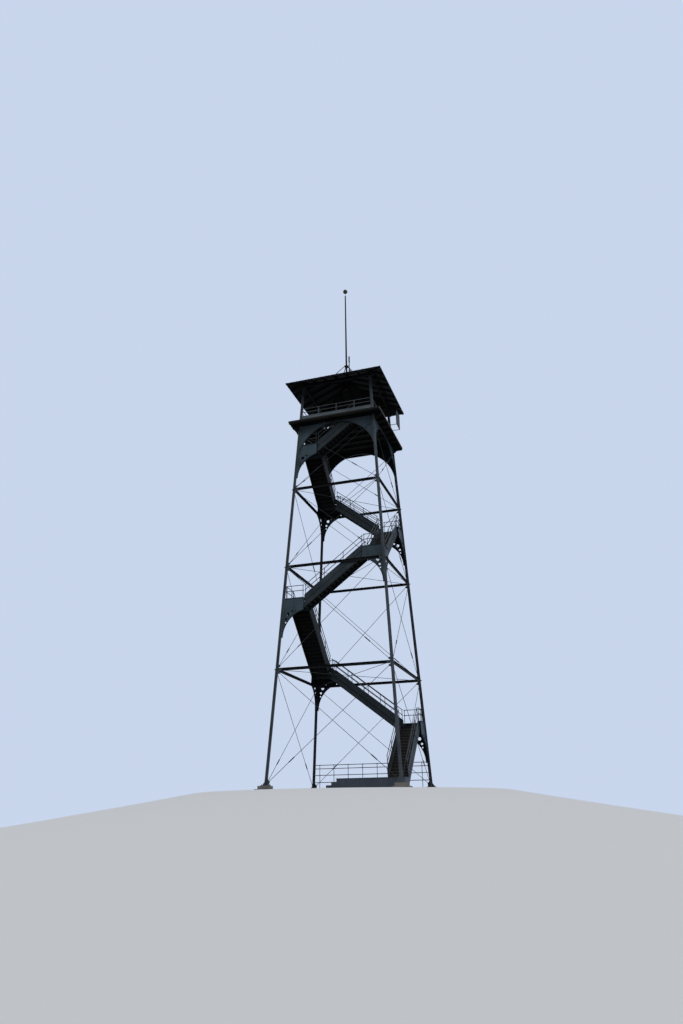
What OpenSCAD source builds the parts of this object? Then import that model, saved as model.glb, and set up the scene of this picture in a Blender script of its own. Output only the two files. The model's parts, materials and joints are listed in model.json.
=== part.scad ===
// Open steel lookout tower: four star-section legs that lean inwards, double-angle struts, tie rods,
// eight flights of stairs wound up inside the legs, an open deck and a hip roof with a staff.
// Millimetres, +Z up, origin on the ground at the centre of the base. The front is towards -Y.
// Each face has a leaning frame: x runs along the face to the right, y is the depth inwards from
// the plane of the leg centre lines and z runs up the slope.

/* [Tower] */
// Distance between leg centre lines at the ground
base_w = 7620; // [7000:10:8200]
// Distance between leg centre lines at the top of the legs
top_w = 4680; // [4400:10:5000]
// Height of the top of the legs, under the roof beams
leg_top = 25950; // [25600:10:26400]
// Height of the top of the deck floor
deck_z = 23040; // [22700:10:23400]
// Height of the lower struts
strut_1_z = 6660; // [6500:10:6700]
// Height of the middle struts
strut_2_z = 12930; // [12800:10:13000]
// Height of the upper struts
strut_3_z = 18200; // [18000:10:18250]

/* [Footings] */
// Side of a footing at the ground
pier_w = 900; // [800:10:1100]
// Side of the top step of a footing
pier_top_w = 640; // [560:10:700]
// Height of the lower step of a footing
pier_step = 180; // [120:5:250]
// Height of a whole footing
pier_h = 340; // [300:5:400]
// Side of the base plate of a leg
shoe_w = 440; // [400:10:540]
// Thickness of the base plate of a leg
shoe_t = 30; // [20:1:40]

/* [Legs] */
// Width of a leg across two opposite arms
leg_w = 180; // [160:2:200]
// Thickness of the leg angles
leg_t = 12; // [8:1:16]
// Slot between the leg angles, which takes the plates
leg_slot = 12.6; // [12.4:0.1:14]

/* [Bracing] */
// Height of a strut
strut_h = 130; // [100:2:150]
// Width of each of the two angles of a strut
strut_w = 84; // [60:2:84]
// Thickness of the strut angles
strut_t = 8; // [6:1:10]
// Diameter of the tie rods
rod_d = 28; // [20:1:32]
// Diameter of the eye at the end of a tie rod
eye_d = 90; // [80:2:100]
// Width of a turnbuckle across its corners
turn_d = 62; // [50:1:70]
// Length of a turnbuckle
turn_len = 380; // [300:10:450]
// Distance of a turnbuckle from the lower eye
turn_at = 1500; // [1200:10:1800]
// Distance of a rod's eye from the leg centre line, along the face
pin_in = 170; // [160:2:180]
// Distance of a rod's eye above or below its strut
pin_up = 200; // [190:2:220]
// Height of the lowest eyes
pin_foot = 560; // [520:10:620]
// Height of the highest eyes, on the arches
pin_top = 22180; // [22050:10:22220]
// Distance of the highest eyes from the leg centre line, on the arches
pin_top_in = 260; // [250:5:280]
// Thickness of gussets, haunches and arches
plate_t = 12; // [8:1:12]
// Reach of a gusset from the leg centre line
gusset_w = 260; // [245:5:300]
// Height of a gusset
gusset_h = 600; // [560:10:640]
// Width of the cut at the corners of a gusset
gusset_cut_w = 100; // [80:5:120]
// Height of the cut at the corners of a gusset
gusset_cut_h = 60; // [50:5:80]
// Reach of the plate ears outside a leg
ear_w = 160; // [130:5:200]
// Height of the plate ears at the leg
ear_h = 240; // [200:10:280]

/* [Arches] */
// Radius of the arches
arch_r = 2600; // [2550:5:2620]
// Height of the centre of the arches
arch_z = 20150; // [20100:5:20200]
// Height of the lower tips of the arch plates
arch_foot = 20450; // [20400:5:20600]

/* [Stairs] */
// Height of the entry platform, where the first flight starts
entry_z = 680; // [600:10:760]
// Distance of the foot of the first flight in front of the centre
entry_y = 1560; // [1400:10:1700]
// Length of the entry platform along the front
entry_w = 3800; // [3000:10:4200]
// Depth of the entry platform
entry_d = 1150; // [1000:10:1400]
// Number of steps up to the entry platform, the platform itself counted
entry_steps = 4; // [3:1:5]
// Depth of each of those steps
entry_going = 300; // [270:5:330]
// Thickness of the top of the entry platform
entry_t = 12; // [8:1:20]
// How far the top of the entry platform stands out
entry_nose = 20; // [10:1:40]
// Length of a landing along the front and back faces, from the leg centre line
landing_x = 1300; // [1250:10:1350]
// Length of a landing along the side faces, from the leg centre line
landing_y = 1120; // [1080:10:1180]
// Largest height of one step
riser_max = 195; // [185:1:210]
// Thickness of a step
tread_t = 45; // [30:1:55]
// Thickness of the plate under the front edge of a step
riser_t = 8; // [5:1:10]
// Depth of the outer stringer inside the face
flight_in = 95; // [92:1:110]
// Thickness of the stringer webs and flanges
stringer_t = 10; // [8:1:12]
// Width of the stringer flanges
flange_w = 60; // [50:1:70]
// Depth of a stringer under the line of the step edges
stringer_drop = 300; // [290:5:340]
// Height of a stringer above the line of the step edges
stringer_up = 40; // [35:1:60]
// Gap between a stringer and the side panel above it
panel_gap = 30; // [20:1:40]
// Height of the side panel of a flight
panel_h = 420; // [360:10:460]
// Thickness of the side panels
panel_t = 8; // [5:1:8]
// Height of a landing plate above the landing
guard_h = 300; // [260:10:340]
// Thickness of the landing floors
floor_t = 12; // [8:1:16]
// How far a landing floor reaches out past the stringers
floor_lip = 50; // [40:1:55]
// Depth of the beams round a landing
header_h = 220; // [200:5:240]
// Width of the beams round a landing
header_w = 60; // [50:1:70]

/* [Haunches] */
// Radius of the curved lower edge of a haunch
haunch_r = 1650; // [1560:10:1740]
// Distance of the foot of the curve from the leg centre line
haunch_in = 160; // [130:5:180]
// Depth of the foot of the curve under the stringers
haunch_drop = 1780; // [1700:10:1840]
// Radius of the large hole in the corner of a haunch
hole_1_r = 100; // [80:1:110]
// Radius of the middle hole under the landing
hole_2_r = 60; // [45:1:70]
// Radius of the upper hole beside the leg
hole_3_r = 68; // [50:1:75]
// Radius of the lower hole beside the leg
hole_4_r = 45; // [30:1:55]
// Radius of the small hole under the landing
hole_5_r = 38; // [25:1:50]

/* [Rails] */
// Outer diameter of the rails
rail_d = 42; // [38:1:48]
// Outer diameter of the posts
post_d = 36; // [30:1:36]
// Height of the top rail of a stair above the step edges
rail_top = 1080; // [1000:10:1150]
// Height of the middle rail of a stair above the step edges
rail_mid = 760; // [700:10:800]
// Largest distance between the posts of a flight
post_gap = 1300; // [1100:10:1500]
// Distance of the outer end posts of a flight from its ends
post_end_out = 60; // [50:5:90]
// The same for the inner end posts, whose rails lean towards those of the next flight
post_end_in = 140; // [130:5:180]
// Distance of the rails of a landing from its edge
landing_rail_in = 40; // [30:5:60]
// Height of the railing at the back of the base
base_rail_top = 1780; // [1600:10:1900]
// Depth of the railing at the back of the base, in from the leg centre lines
base_rail_in = 175; // [165:5:185]
// Number of its posts
base_posts = 8; // [6:1:10]
// Distance of its end posts from the footings
base_post_in = 60; // [40:5:100]

/* [Deck] */
// Half the width of the deck
deck_half = 3124; // [3050:2:3200]
// Thickness of the deck floor
deck_t = 60; // [40:1:70]
// Depth of the joists
joist_h = 150; // [130:1:160]
// Width of the joists
joist_w = 75; // [60:1:90]
// Thickness of the boards under the edges of the deck
fascia_t = 28; // [20:1:40]
// Height of the light edge of the deck, floor and board together
fascia_h = 110; // [100:5:180]
// Number of joists between the leg lines
joist_n = 6; // [5:1:8]
// Clearance between a leg and the floor and joists round it
leg_gap = 25; // [20:1:35]
// Distance of the foot of the stairwell from the foot of the last flight
well_start = 120; // [80:10:160]
// Clearance between the stairwell and the flight in it
well_gap = 12; // [8:1:20]
// Distance of the railing of the stairwell from its edge
well_rail_in = 60; // [50:5:90]
// Depth of the outriggers at the leg
bracket_h = 420; // [360:5:460]
// Depth of the outriggers at their tips, and width at their feet outside the leg
bracket_tip = 60; // [40:5:80]
// Distance of the tips of the outriggers from the edge of the deck
bracket_in = 60; // [40:5:100]
// Radius of the hole in an outrigger
bracket_hole_r = 70; // [50:1:80]
// Height of the top rail above the deck
deck_rail_top = 1150; // [1050:10:1200]
// Height of the middle rail above the deck
deck_rail_mid = 870; // [800:10:950]
// Height of the solid panel of the deck railing
toe_h = 540; // [480:10:600]
// Gap under the solid panel of the deck railing
toe_gap = 40; // [20:1:60]
// Number of bays in each side of the deck railing
rail_bays = 4; // [3:1:6]
// Width of the board beside the deck
board_w = 900; // [700:10:1100]
// Height of the board beside the deck
board_h = 1080; // [800:10:1200]
// Distance of the board outside the edge of the deck
board_out = 440; // [350:10:500]
// Side of the arms and of the frame of the board
board_arm = 40; // [30:1:50]
// Length of the arms on the deck
board_hold = 160; // [120:5:200]

/* [Roof] */
// Half the width of the eaves
eave_half = 3300; // [3250:5:3350]
// Height of the underside of the roof at the eaves
eave_z = 25860; // [25820:5:25880]
// Height of the underside of the roof at its middle
apex_z = 27260; // [27100:10:27400]
// Thickness of the roof
roof_t = 34; // [20:1:45]
// Height of the roof beams
beam_h = 190; // [170:5:200]
// Width of the roof beams
beam_w = 110; // [90:5:130]
// Width of the rafters
rafter_w = 55; // [45:1:65]
// Number of bays between the rafters on each half of a face, out to the line of the legs
rafter_n = 3; // [2:1:5]
// How far the roof reaches past the ends of the rafters
eave_lip = 30; // [25:1:60]
// Width of the knee braces at the tops of the legs
knee_w = 50; // [40:1:60]
// Depth of the feet of the knee braces under the tops of the legs
knee_drop = 760; // [700:10:820]
// Distance of the heads of the knee braces from the eaves
knee_in = 180; // [120:10:240]

/* [Staff] */
// Radius of the staff at its foot
pole_r1 = 66; // [55:1:75]
// Radius of the staff at its top
pole_r2 = 40; // [30:1:50]
// Height of the foot of the staff, under the roof
pole_foot = 26700; // [26600:10:26800]
// Height of the staff's straight foot above the underside of the roof at its middle
pole_straight = 300; // [200:10:500]
// Width of the block round the foot of the staff
block_w = 90; // [70:5:110]
// Height of the block under the foot of the staff
block_h = 60; // [50:5:100]
// Height of the top of the staff
pole_top = 35010; // [34500:10:35300]
// Diameter of the ball
ball_d = 280; // [240:2:320]
// Height of the collar that holds the braces
collar_z = 28400; // [28200:10:28600]
// Length of the collar along the staff
collar_h = 120; // [100:5:160]
// Thickness of the collar
collar_t = 40; // [20:1:50]
// Diameter of the braces of the staff
stay_d = 48; // [40:1:56]
// Distance of the feet of the braces from the staff
stay_foot = 1900; // [1500:10:2100]
// Side of the feet of the braces
stay_pad = 130; // [110:5:160]
// Thickness of the feet of the braces and of the short rod
pad_t = 36; // [25:1:45]
// Diameter of the short rod beside the staff
short_rod_d = 36; // [30:1:48]
// Distance of the short rod in front of the staff's centre line, towards the right
short_rod_out = 330; // [300:5:400]
// Side of the foot of the short rod
short_rod_pad = 110; // [90:5:130]
// Height of the top of the short rod beside the staff
short_rod_top = 29650; // [29400:10:29900]

/* [Hidden] */
$fn = 32;

// Clearance between separate pieces that seat on each other
seat = 0.3;
// Clearance between a level piece and a leaning one above it
lean_gap = 2;
// Faces and corners: corner i lies at the right end of face i
front = 0;
right = 1;
back = 2;
left = 3;
flights = 8;
slate = [0.36, 0.40, 0.43];
dark = [0.17, 0.18, 0.19];
grey = [0.52, 0.52, 0.49];
brown = [0.33, 0.29, 0.26];
// Middles of the holes of a haunch: distance from the leg centre line and depth under the stringers
hole_at = [[400, 365], [630, 210], [285, 665], [270, 885], [815, 215]];
// Heights of the rails at the back of the base as shares of the height of the top one
base_rail_share = [0.42, 0.66, 0.88, 1];

// Lean of each face: inward travel for each unit of height, and its angle
taper = (base_w - top_w) / 2 / leg_top;
lean = atan(taper);
// Half the distance between leg centre lines at a height
function half(z) = base_w / 2 - taper * z;
// Distance up the slope of a point at height z and depth n inside its face
function sl(z, n = 0) = (z + n * sin(lean)) / cos(lean);
// Depth of a level piece behind the face plane, measured level, for a slanting depth n
function level(n) = n / cos(lean);

strut_z = [strut_1_z, strut_2_z, strut_3_z];
pin_z = [pin_foot, strut_1_z, strut_2_z, strut_3_z];
slot_edge = leg_slot / 2 + leg_t + seat;
arm = leg_w / 2;
plate_n = plate_t / 2;

// Length of a landing along face f
function landing_len(f) = f % 2 == 0 ? landing_x : landing_y;
// Start of flight k along its face, from the height of its foot
function run_start(k, z) = k == 1 ? -entry_y : landing_len(k % 4) - half(z);
// Height that flight k reaches from height z at pitch p, ending at the next landing's edge
function climb(p, k, z) =
    (z + p * (base_w / 2 - landing_len(k % 4) - run_start(k, z))) / (1 + p * taper);
// Height reached after all flights at pitch p
function summit(p, k = 1, z = entry_z) = k > flights ? z : summit(p, k + 1, climb(p, k, z));
// The one pitch at which the last flight meets the deck, found by halving
function pitch_between(lo, hi, n = 40) =
    n == 0 ? (lo + hi) / 2
    : summit((lo + hi) / 2) < deck_z ? pitch_between((lo + hi) / 2, hi, n - 1)
    : pitch_between(lo, (lo + hi) / 2, n - 1);
pitch = pitch_between(0.3, 2);
// Heights of the foot of the stair, the landings and the deck
function heights(k = 0, z = entry_z) =
    k == flights ? [z] : concat([z], heights(k + 1, climb(pitch, k + 1, z)));
level_z = heights();
function flight_u0(k) = run_start(k, level_z[k - 1]);
function flight_u1(k) = half(level_z[k]) - landing_len(k % 4);
function flight_steps(k) = ceil((level_z[k] - level_z[k - 1]) / riser_max);
// Depth of the inner face of a flight on face f, inside the face
function flight_out(f) = landing_len(f + 1) * cos(lean);

// Depth of the posts and of the side panels inside the outer stringer
post_in = flight_in + flange_w - rail_d / 2 - 4;
panel_in = post_in - post_d / 2 - seat - panel_t;
// Box of the stairwell in the deck
well_x0 = flight_u0(flights) + well_start;
well_x1 = flight_u1(flights);
well_y0 = -half(deck_z) + level(flight_in) - well_gap;
well_y1 = -half(deck_z) + level(flight_out(front)) + well_gap;

joist_top = deck_z - deck_t;
joist_bottom = joist_top - joist_h;
roof_slope = (apex_z - eave_z) / eave_half;
// Height of the underside of the roof at distance r from the middle
function roof_under(r) = eave_z + (eave_half - r) * roof_slope;
// Outer edge of the roof beams, and the depths of the rafters that rest on it
beam_edge = half(leg_top) + beam_w / 2;
rafter_h = roof_under(beam_edge) - leg_top - beam_h - 2 * seat;
hip_drop = rafter_w * roof_slope;
hip_h = roof_under(beam_edge) - hip_drop - leg_top - beam_h - seat;

// Frames
module on_face(f) {
    rotate([0, 0, 90 * f]) translate([0, -base_w / 2, 0]) rotate([-lean, 0, 0]) children();
}
module turned(f) {
    rotate([0, 0, 90 * f]) children();
}
// A flat plate from its outline, between two depths
module plate(n0, n1) {
    translate([0, n1, 0]) rotate([90, 0, 0]) linear_extrude(n1 - n0) children();
}
// A bar along the face from its section of depth and height
module along(u0, u1) {
    translate([u0, 0, 0]) rotate([90, 0, 90]) linear_extrude(u1 - u0) children();
}
// A round bar between two points of a plane of constant depth
module bar(a, b, d) {
    v = b - a;
    translate([a.x, a.y, a.z]) rotate([0, acos(v.z / norm(v)), atan2(v.y, v.x)])
        cylinder(d = d, h = norm(v));
}
// A point of a face: side is -1 or 1, d the distance in from that leg, z the height
function leg_pt(side, d, z) = [side * (half(z) - d), sl(z)];
module level_slab(z0, z1) {
    translate([-base_w, -base_w, z0]) cube([2 * base_w, 2 * base_w, z1 - z0]);
}

// Footings and legs
module piers() {
    color("lightgray")
        for (x = [-1, 1], y = [-1, 1]) translate([x * base_w / 2, y * base_w / 2, 0]) {
            translate([-pier_w / 2, -pier_w / 2, 0]) cube([pier_w, pier_w, pier_step]);
            translate([-pier_top_w / 2, -pier_top_w / 2, 0]) cube([pier_top_w, pier_top_w, pier_h]);
        }
}
// The two arms of a leg that lie in one face
module leg_arms(side) {
    for (n = [-leg_slot / 2 - leg_t, leg_slot / 2])
        plate(n, n + leg_t)
            polygon([
                leg_pt(side, arm, 0), leg_pt(side, -arm, 0),
                leg_pt(side, -arm, leg_top + arm), leg_pt(side, arm, leg_top + arm)
            ]);
}
module leg(corner) {
    foot = half(pier_h);
    color(slate) {
        intersection() {
            union() {
                on_face(corner) leg_arms(1);
                on_face(corner + 1) leg_arms(-1);
            }
            level_slab(pier_h + shoe_t + seat, leg_top);
        }
        turned(corner) translate([foot - shoe_w / 2, -foot - shoe_w / 2, pier_h])
            cube([shoe_w, shoe_w, shoe_t]);
    }
}

// Struts and tie rods
module strut_angle(side, z) {
    reach = plate_n + seat + strut_w;
    n0 = side * (plate_n + seat);
    n1 = side * (plate_n + seat + strut_t);
    n2 = side * reach;
    s = sl(z);
    // It ends clear of the leg and of the strut of the next face
    u = half(z + strut_h / 2) - max(arm, reach / cos(lean)) - lean_gap;
    along(-u, u)
        polygon([
            [n0, s - strut_h / 2], [n1, s - strut_h / 2], [n1, s + strut_h / 2 - strut_t],
            [n2, s + strut_h / 2 - strut_t], [n2, s + strut_h / 2], [n0, s + strut_h / 2]
        ]);
}
module struts() {
    color(dark) for (z = strut_z, f = [0:3]) on_face(f) {
        strut_angle(-1, z);
        strut_angle(1, z);
    }
}
// Middle depth of the rods, outside or inside the plates
rod_n = plate_n + seat + rod_d / 2;
module tie_rod(a, b, n) {
    p = [a.x, n, a.y];
    q = [b.x, n, b.y];
    dir = (q - p) / norm(q - p);
    bar(p, q, rod_d);
    bar(p + dir * turn_at, p + dir * (turn_at + turn_len), turn_d, $fn = 6);
    for (e = [p, q]) translate([e.x, e.y + rod_d / 2, e.z]) rotate([90, 0, 0])
        cylinder(d = eye_d, h = rod_d);
}
module rods(f) {
    color(slate) on_face(f) for (i = [0:3]) {
        z0 = pin_z[i] + (i == 0 ? 0 : pin_up);
        z1 = i == 3 ? pin_top : pin_z[i + 1] - pin_up;
        d1 = i == 3 ? pin_top_in : pin_in;
        tie_rod(leg_pt(-1, pin_in, z0), leg_pt(1, d1, z1), -rod_n);
        tie_rod(leg_pt(1, pin_in, z0), leg_pt(-1, d1, z1), rod_n);
    }
}
module level_rods() {
    color(slate) for (z = strut_z, i = [0, 1]) {
        r = half(z) * sqrt(2) - (leg_slot / 2 + leg_t + seat) * sqrt(2) - rod_d / 2;
        y = z + (i == 0 ? -1 : 1) * (rod_d / 2 + seat);
        rotate([0, 0, 45 + 90 * i]) translate([-r, 0, y]) rotate([0, 90, 0]) cylinder(d = rod_d, h = 2 * r);
    }
}
// Whether the plate of a landing fills the leg slot where a gusset would go
function has_landing(corner, z) =
    len([for (k = [1:flights - 1])
        if (k % 4 == corner && level_z[k] + guard_h > z - gusset_h / 2
            && level_z[k] - stringer_drop - haunch_drop < z + gusset_h / 2) k]) > 0;
module gusset(side, z) {
    g = gusset_h / 2;
    plate(-plate_n, plate_n)
        polygon([
            leg_pt(side, slot_edge, z - g), leg_pt(side, gusset_w - gusset_cut_w, z - g),
            leg_pt(side, gusset_w, z - g + gusset_cut_h), leg_pt(side, gusset_w, z + g - gusset_cut_h),
            leg_pt(side, gusset_w - gusset_cut_w, z + g), leg_pt(side, slot_edge, z + g)
        ]);
}
module ear(side, z) {
    g = ear_h / 2;
    plate(-plate_n, plate_n)
        polygon([
            leg_pt(side, -slot_edge, z - g), leg_pt(side, -ear_w, z - g / 2),
            leg_pt(side, -ear_w, z + g / 2), leg_pt(side, -slot_edge, z + g)
        ]);
}
module foot_gusset(side) {
    z0 = pier_h + shoe_t + lean_gap;
    z1 = pin_foot + gusset_h / 2;
    plate(-plate_n, plate_n)
        polygon([
            leg_pt(side, slot_edge, z0), leg_pt(side, shoe_w / 2 - shoe_t, z0),
            leg_pt(side, gusset_w, pin_foot - eye_d), leg_pt(side, gusset_w, z1 - 2 * gusset_cut_h),
            leg_pt(side, gusset_w - gusset_cut_w, z1), leg_pt(side, slot_edge, z1)
        ]);
}
module joint_plates() {
    color(dark) for (f = [0:3], side = [-1, 1]) on_face(f) {
        corner = side == 1 ? f : (f + 3) % 4;
        for (z = strut_z) {
            if (!has_landing(corner, z)) gusset(side, z);
            ear(side, z);
        }
        foot_gusset(side);
    }
}

// Arches under the deck
module arch_outline(clear = 0) {
    top = joist_bottom - seat;
    difference() {
        polygon([
            leg_pt(-1, slot_edge, arch_foot - clear), leg_pt(1, slot_edge, arch_foot - clear),
            leg_pt(1, slot_edge, top), leg_pt(-1, slot_edge, top)
        ]);
        translate([0, sl(arch_z)]) circle(r = arch_r - clear, $fn = 96);
    }
}
module arches() {
    color(slate) for (f = [0:3]) on_face(f) plate(-plate_n, plate_n) arch_outline();
}

// Landings
module haunch_holes(side, zb) {
    radii = [hole_1_r, hole_2_r, hole_3_r, hole_4_r, hole_5_r];
    for (i = [0:len(radii) - 1])
        translate(leg_pt(side, hole_at[i].x, zb - hole_at[i].y)) circle(r = radii[i]);
}
module landing_plate(side, len, z) {
    zb = z - stringer_drop;
    foot = zb - haunch_drop;
    plate(-plate_n, plate_n) difference() {
        polygon([
            leg_pt(side, slot_edge, z + guard_h), leg_pt(side, slot_edge, foot),
            leg_pt(side, haunch_in, foot), [side * (half(z) - len), sl(foot)],
            [side * (half(z) - len), sl(z + guard_h)]
        ]);
        translate(leg_pt(side, haunch_in + haunch_r, foot)) circle(r = haunch_r, $fn = 96);
        haunch_holes(side, zb);
        arch_outline(seat);
    }
}
module landing(k) {
    f = k % 4;
    z = level_z[k];
    len_u = landing_len(f);
    len_v = landing_len(f + 1);
    h = half(z);
    edge = level(flight_in) - floor_lip;
    top = z - floor_t;
    color(slate) {
        on_face(f) landing_plate(1, len_u, z);
        on_face(f + 1) landing_plate(-1, len_v, z);
        turned(f) {
            n0 = level(plate_n + seat) + taper * header_h;
            // Beams under the two inner edges, from the outer plates to the inner corner
            translate([h - len_u, -h + n0, top - header_h]) cube([header_w, len_v - n0, header_h]);
            translate([h - len_u + header_w, -h + len_v - header_w, top - header_h])
                cube([len_u - header_w - n0, header_w, header_h]);
            translate([h - len_u, -h + edge, top]) cube([len_u - edge, len_v - edge, floor_t]);
        }
    }
}

// Flights, in the leaning frame of their face
function slope_pt(k, u, up, n) =
    [u, sl(level_z[k - 1] + (u - flight_u0(k)) * pitch + up, n)];
module slope_band(k, up0, up1, n0, n1, u0, u1) {
    n = (n0 + n1) / 2;
    plate(n0, n1)
        polygon([
            slope_pt(k, u0, up0, n), slope_pt(k, u1, up0, n),
            slope_pt(k, u1, up1, n), slope_pt(k, u0, up1, n)
        ]);
}
module stringer(k, n_web, n_flange) {
    u0 = flight_u0(k) + seat;
    u1 = flight_u1(k) - seat;
    t = stringer_t * sqrt(1 + pitch * pitch);
    slope_band(k, -stringer_drop, stringer_up, n_web, n_web + stringer_t, u0, u1);
    slope_band(k, -stringer_drop, -stringer_drop + t, n_flange, n_flange + flange_w, u0, u1);
    slope_band(k, stringer_up - t, stringer_up, n_flange, n_flange + flange_w, u0, u1);
}
module flight_treads(k) {
    n = flight_steps(k);
    rise = (level_z[k] - level_z[k - 1]) / n;
    going = (flight_u1(k) - flight_u0(k)) / n;
    f = k % 4;
    for (i = [0:n - 1]) {
        u = flight_u0(k) + i * going;
        z = level_z[k - 1] + i * rise;
        low = i == 0 ? z - tread_t : z - rise + seat;
        y0 = -half(z) + level(flight_in + stringer_t) + seat;
        y1 = -half(low) + level(flight_out(f) - stringer_t) - seat;
        tail = i == n - 1 ? -seat : riser_t;
        lead = i == 0 ? seat : 0;
        translate([0, y1, 0]) rotate([90, 0, 0]) linear_extrude(y1 - y0) union() {
            translate([u + lead, z - tread_t]) square([going + tail - lead, tread_t]);
            if (i > 0) translate([u, low]) square([riser_t, z - low]);
        }
    }
}
module flight(k) {
    f = k % 4;
    out = flight_out(f);
    p0 = stringer_up + panel_gap;
    u0 = flight_u0(k) + seat;
    u1 = flight_u1(k) - seat;
    color(slate) on_face(f) {
        stringer(k, flight_in, flight_in + stringer_t);
        stringer(k, out - stringer_t, out - stringer_t - flange_w);
        slope_band(k, p0, p0 + panel_h, panel_in, panel_in + panel_t, u0, u1);
        inner = flight_in + out - panel_in - panel_t;
        slope_band(k, p0, p0 + panel_h, inner, inner + panel_t, u0, u1);
    }
}
module steps(k0, k1) {
    color(brown) for (k = [k0:k1]) turned(k % 4) flight_treads(k);
}

// Rails of the stairs
module flight_rail(k, n, end) {
    u0 = flight_u0(k) + end;
    u1 = flight_u1(k) - end;
    bays = ceil((u1 - u0) / post_gap);
    on_face(k % 4) {
        intersection() {
            for (i = [0:bays]) {
                u = u0 + (u1 - u0) * i / bays;
                a = slope_pt(k, u, 0, n);
                b = slope_pt(k, u, rail_top + rail_d, n);
                bar([u, n, a.y], [u, n, b.y], post_d);
            }
            slope_band(k, stringer_up + seat, rail_top, n - rail_d, n + rail_d, u0 - rail_d, u1 + rail_d);
        }
        for (up = [rail_mid, rail_top]) {
            a = slope_pt(k, u0 - rail_d, up, n);
            b = slope_pt(k, u1 + rail_d, up, n);
            bar([a.x, n, a.y], [b.x, n, b.y], rail_d);
        }
    }
}
// A level run of rails along x with posts near its ends
module level_rail(u0, u1, y, z) {
    for (u = [u0 + rail_d, u1 - rail_d]) translate([u, y, z]) cylinder(d = post_d, h = rail_top);
    for (up = [rail_mid, rail_top]) bar([u0, y, z + up], [u1, y, z + up], rail_d);
}
module landing_rail(k) {
    f = k % 4;
    h = half(level_z[k]);
    c = h - level(post_in);
    turned(f) level_rail(h - landing_len(f) + landing_rail_in, c + rail_d / 2, -c, level_z[k]);
    turned(f + 1)
        level_rail(-c + rail_d / 2 + seat, landing_len(f + 1) - h - landing_rail_in, -c, level_z[k]);
}
module stair_rails(k0, k1, l0, l1) {
    color(slate) {
        for (k = [k0:k1]) {
            out = flight_out(k % 4);
            flight_rail(k, post_in, post_end_out);
            flight_rail(k, flight_in + out - post_in, post_end_in);
        }
        for (k = [l0:l1]) landing_rail(k);
    }
}
// A low stage at the foot of the first flight, with steps up to it from the left
module entry_platform() {
    x1 = half(entry_z) - level(flight_in) + entry_nose;
    y1 = -entry_y - seat;
    x0 = x1 - entry_w;
    y0 = y1 - entry_d;
    under = entry_z - entry_t;
    rise = entry_z / entry_steps;
    color(slate) {
        box(x0, x1, y0, y1, 0, under);
        box(x0 - entry_nose, x1, y0 - entry_nose, y1, under, entry_z);
        for (i = [1:entry_steps - 1])
            translate([x0 - i * (entry_going + seat), y0, 0])
                cube([entry_going, entry_d, entry_z - i * rise]);
    }
}
// Posts on the ground with rails on their outer side, between the two legs at the back
module base_rail() {
    y = base_w / 2 - base_rail_in;
    end = base_w / 2 - pier_w / 2 - base_post_in;
    color(slate) {
        for (i = [0:base_posts - 1])
            translate([-end + 2 * end * i / (base_posts - 1), y - (rail_d + post_d) / 2 - seat, 0])
                cylinder(d = post_d, h = base_rail_top + rail_d / 2);
        for (share = base_rail_share) {
            z = base_rail_top * share;
            x = half(z + rail_d / 2) - level(leg_slot / 2 + leg_t) - seat;
            bar([-x, y, z], [x, y, z], rail_d);
        }
    }
}

// Deck
module box(x0, x1, y0, y1, z0, z1) {
    translate([x0, y0, z0]) cube([x1 - x0, y1 - y0, z1 - z0]);
}
module leg_holes(z0, z1) {
    h = half((z0 + z1) / 2);
    w = leg_w + 2 * leg_gap;
    for (x = [-1, 1], y = [-1, 1]) translate([x * h - w / 2, y * h - w / 2, z0]) cube([w, w, z1 - z0]);
}
module deck_beams() {
    off = arm + leg_gap + joist_w / 2;
    h = half(joist_top);
    out = deck_half - fascia_t - seat - joist_w / 2;
    span = h - off;
    rows = concat([-out, -h - off, h + off, out], [for (i = [0:joist_n]) -span + 2 * span * i / joist_n]);
    reach = deck_half - fascia_t - seat;
    half_w = joist_w / 2;
    color(dark) {
        for (y = rows)
            if (y > well_y0 - half_w && y < well_y1 + half_w) {
                box(-reach, well_x0 - joist_w - seat, y - half_w, y + half_w, joist_bottom, joist_top);
                box(well_x1 + joist_w + seat, reach, y - half_w, y + half_w, joist_bottom, joist_top);
            } else box(-reach, reach, y - half_w, y + half_w, joist_bottom, joist_top);
        // Trimmers at the two ends of the stairwell, between the nearest whole joists
        y0 = max([for (y = rows) if (y < well_y0 - half_w) y]) + half_w + seat;
        y1 = min([for (y = rows) if (y > well_y1 + half_w) y]) - half_w - seat;
        for (x = [well_x0 - joist_w, well_x1]) box(x, x + joist_w, y0, y1, joist_bottom, joist_top);
    }
}
module deck_floor() {
    d = deck_half;
    fascia_z = deck_z - fascia_h;
    color(grey) {
        // Four panels round the stairwell
        difference() {
            union() {
                box(-d, d, -d, well_y0, joist_top, deck_z);
                box(-d, d, well_y1, d, joist_top, deck_z);
                box(-d, well_x0, well_y0 + seat, well_y1 - seat, joist_top, deck_z);
                box(well_x1, d, well_y0 + seat, well_y1 - seat, joist_top, deck_z);
            }
            leg_holes(joist_top - 1, deck_z + 1);
        }
        // Boards under the edges
        for (f = [0:3]) turned(f)
            box(-d, d - fascia_t - seat, -d, -d + fascia_t, fascia_z, joist_top - seat);
    }
}
module deck_brackets() {
    top = joist_bottom - seat;
    reach = deck_half - bracket_in - half(top);
    hole = bracket_tip + bracket_hole_r;
    color(dark) for (f = [0:3], side = [-1, 1]) on_face(f)
        plate(-plate_n, plate_n) difference() {
            polygon([
                leg_pt(side, -slot_edge, top), leg_pt(side, -reach, top),
                leg_pt(side, -reach, top - bracket_tip),
                leg_pt(side, -arm - bracket_tip, top - bracket_h), leg_pt(side, -slot_edge, top - bracket_h)
            ]);
            translate(leg_pt(side, -arm - hole, top - hole)) circle(r = bracket_hole_r);
        }
}
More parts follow.
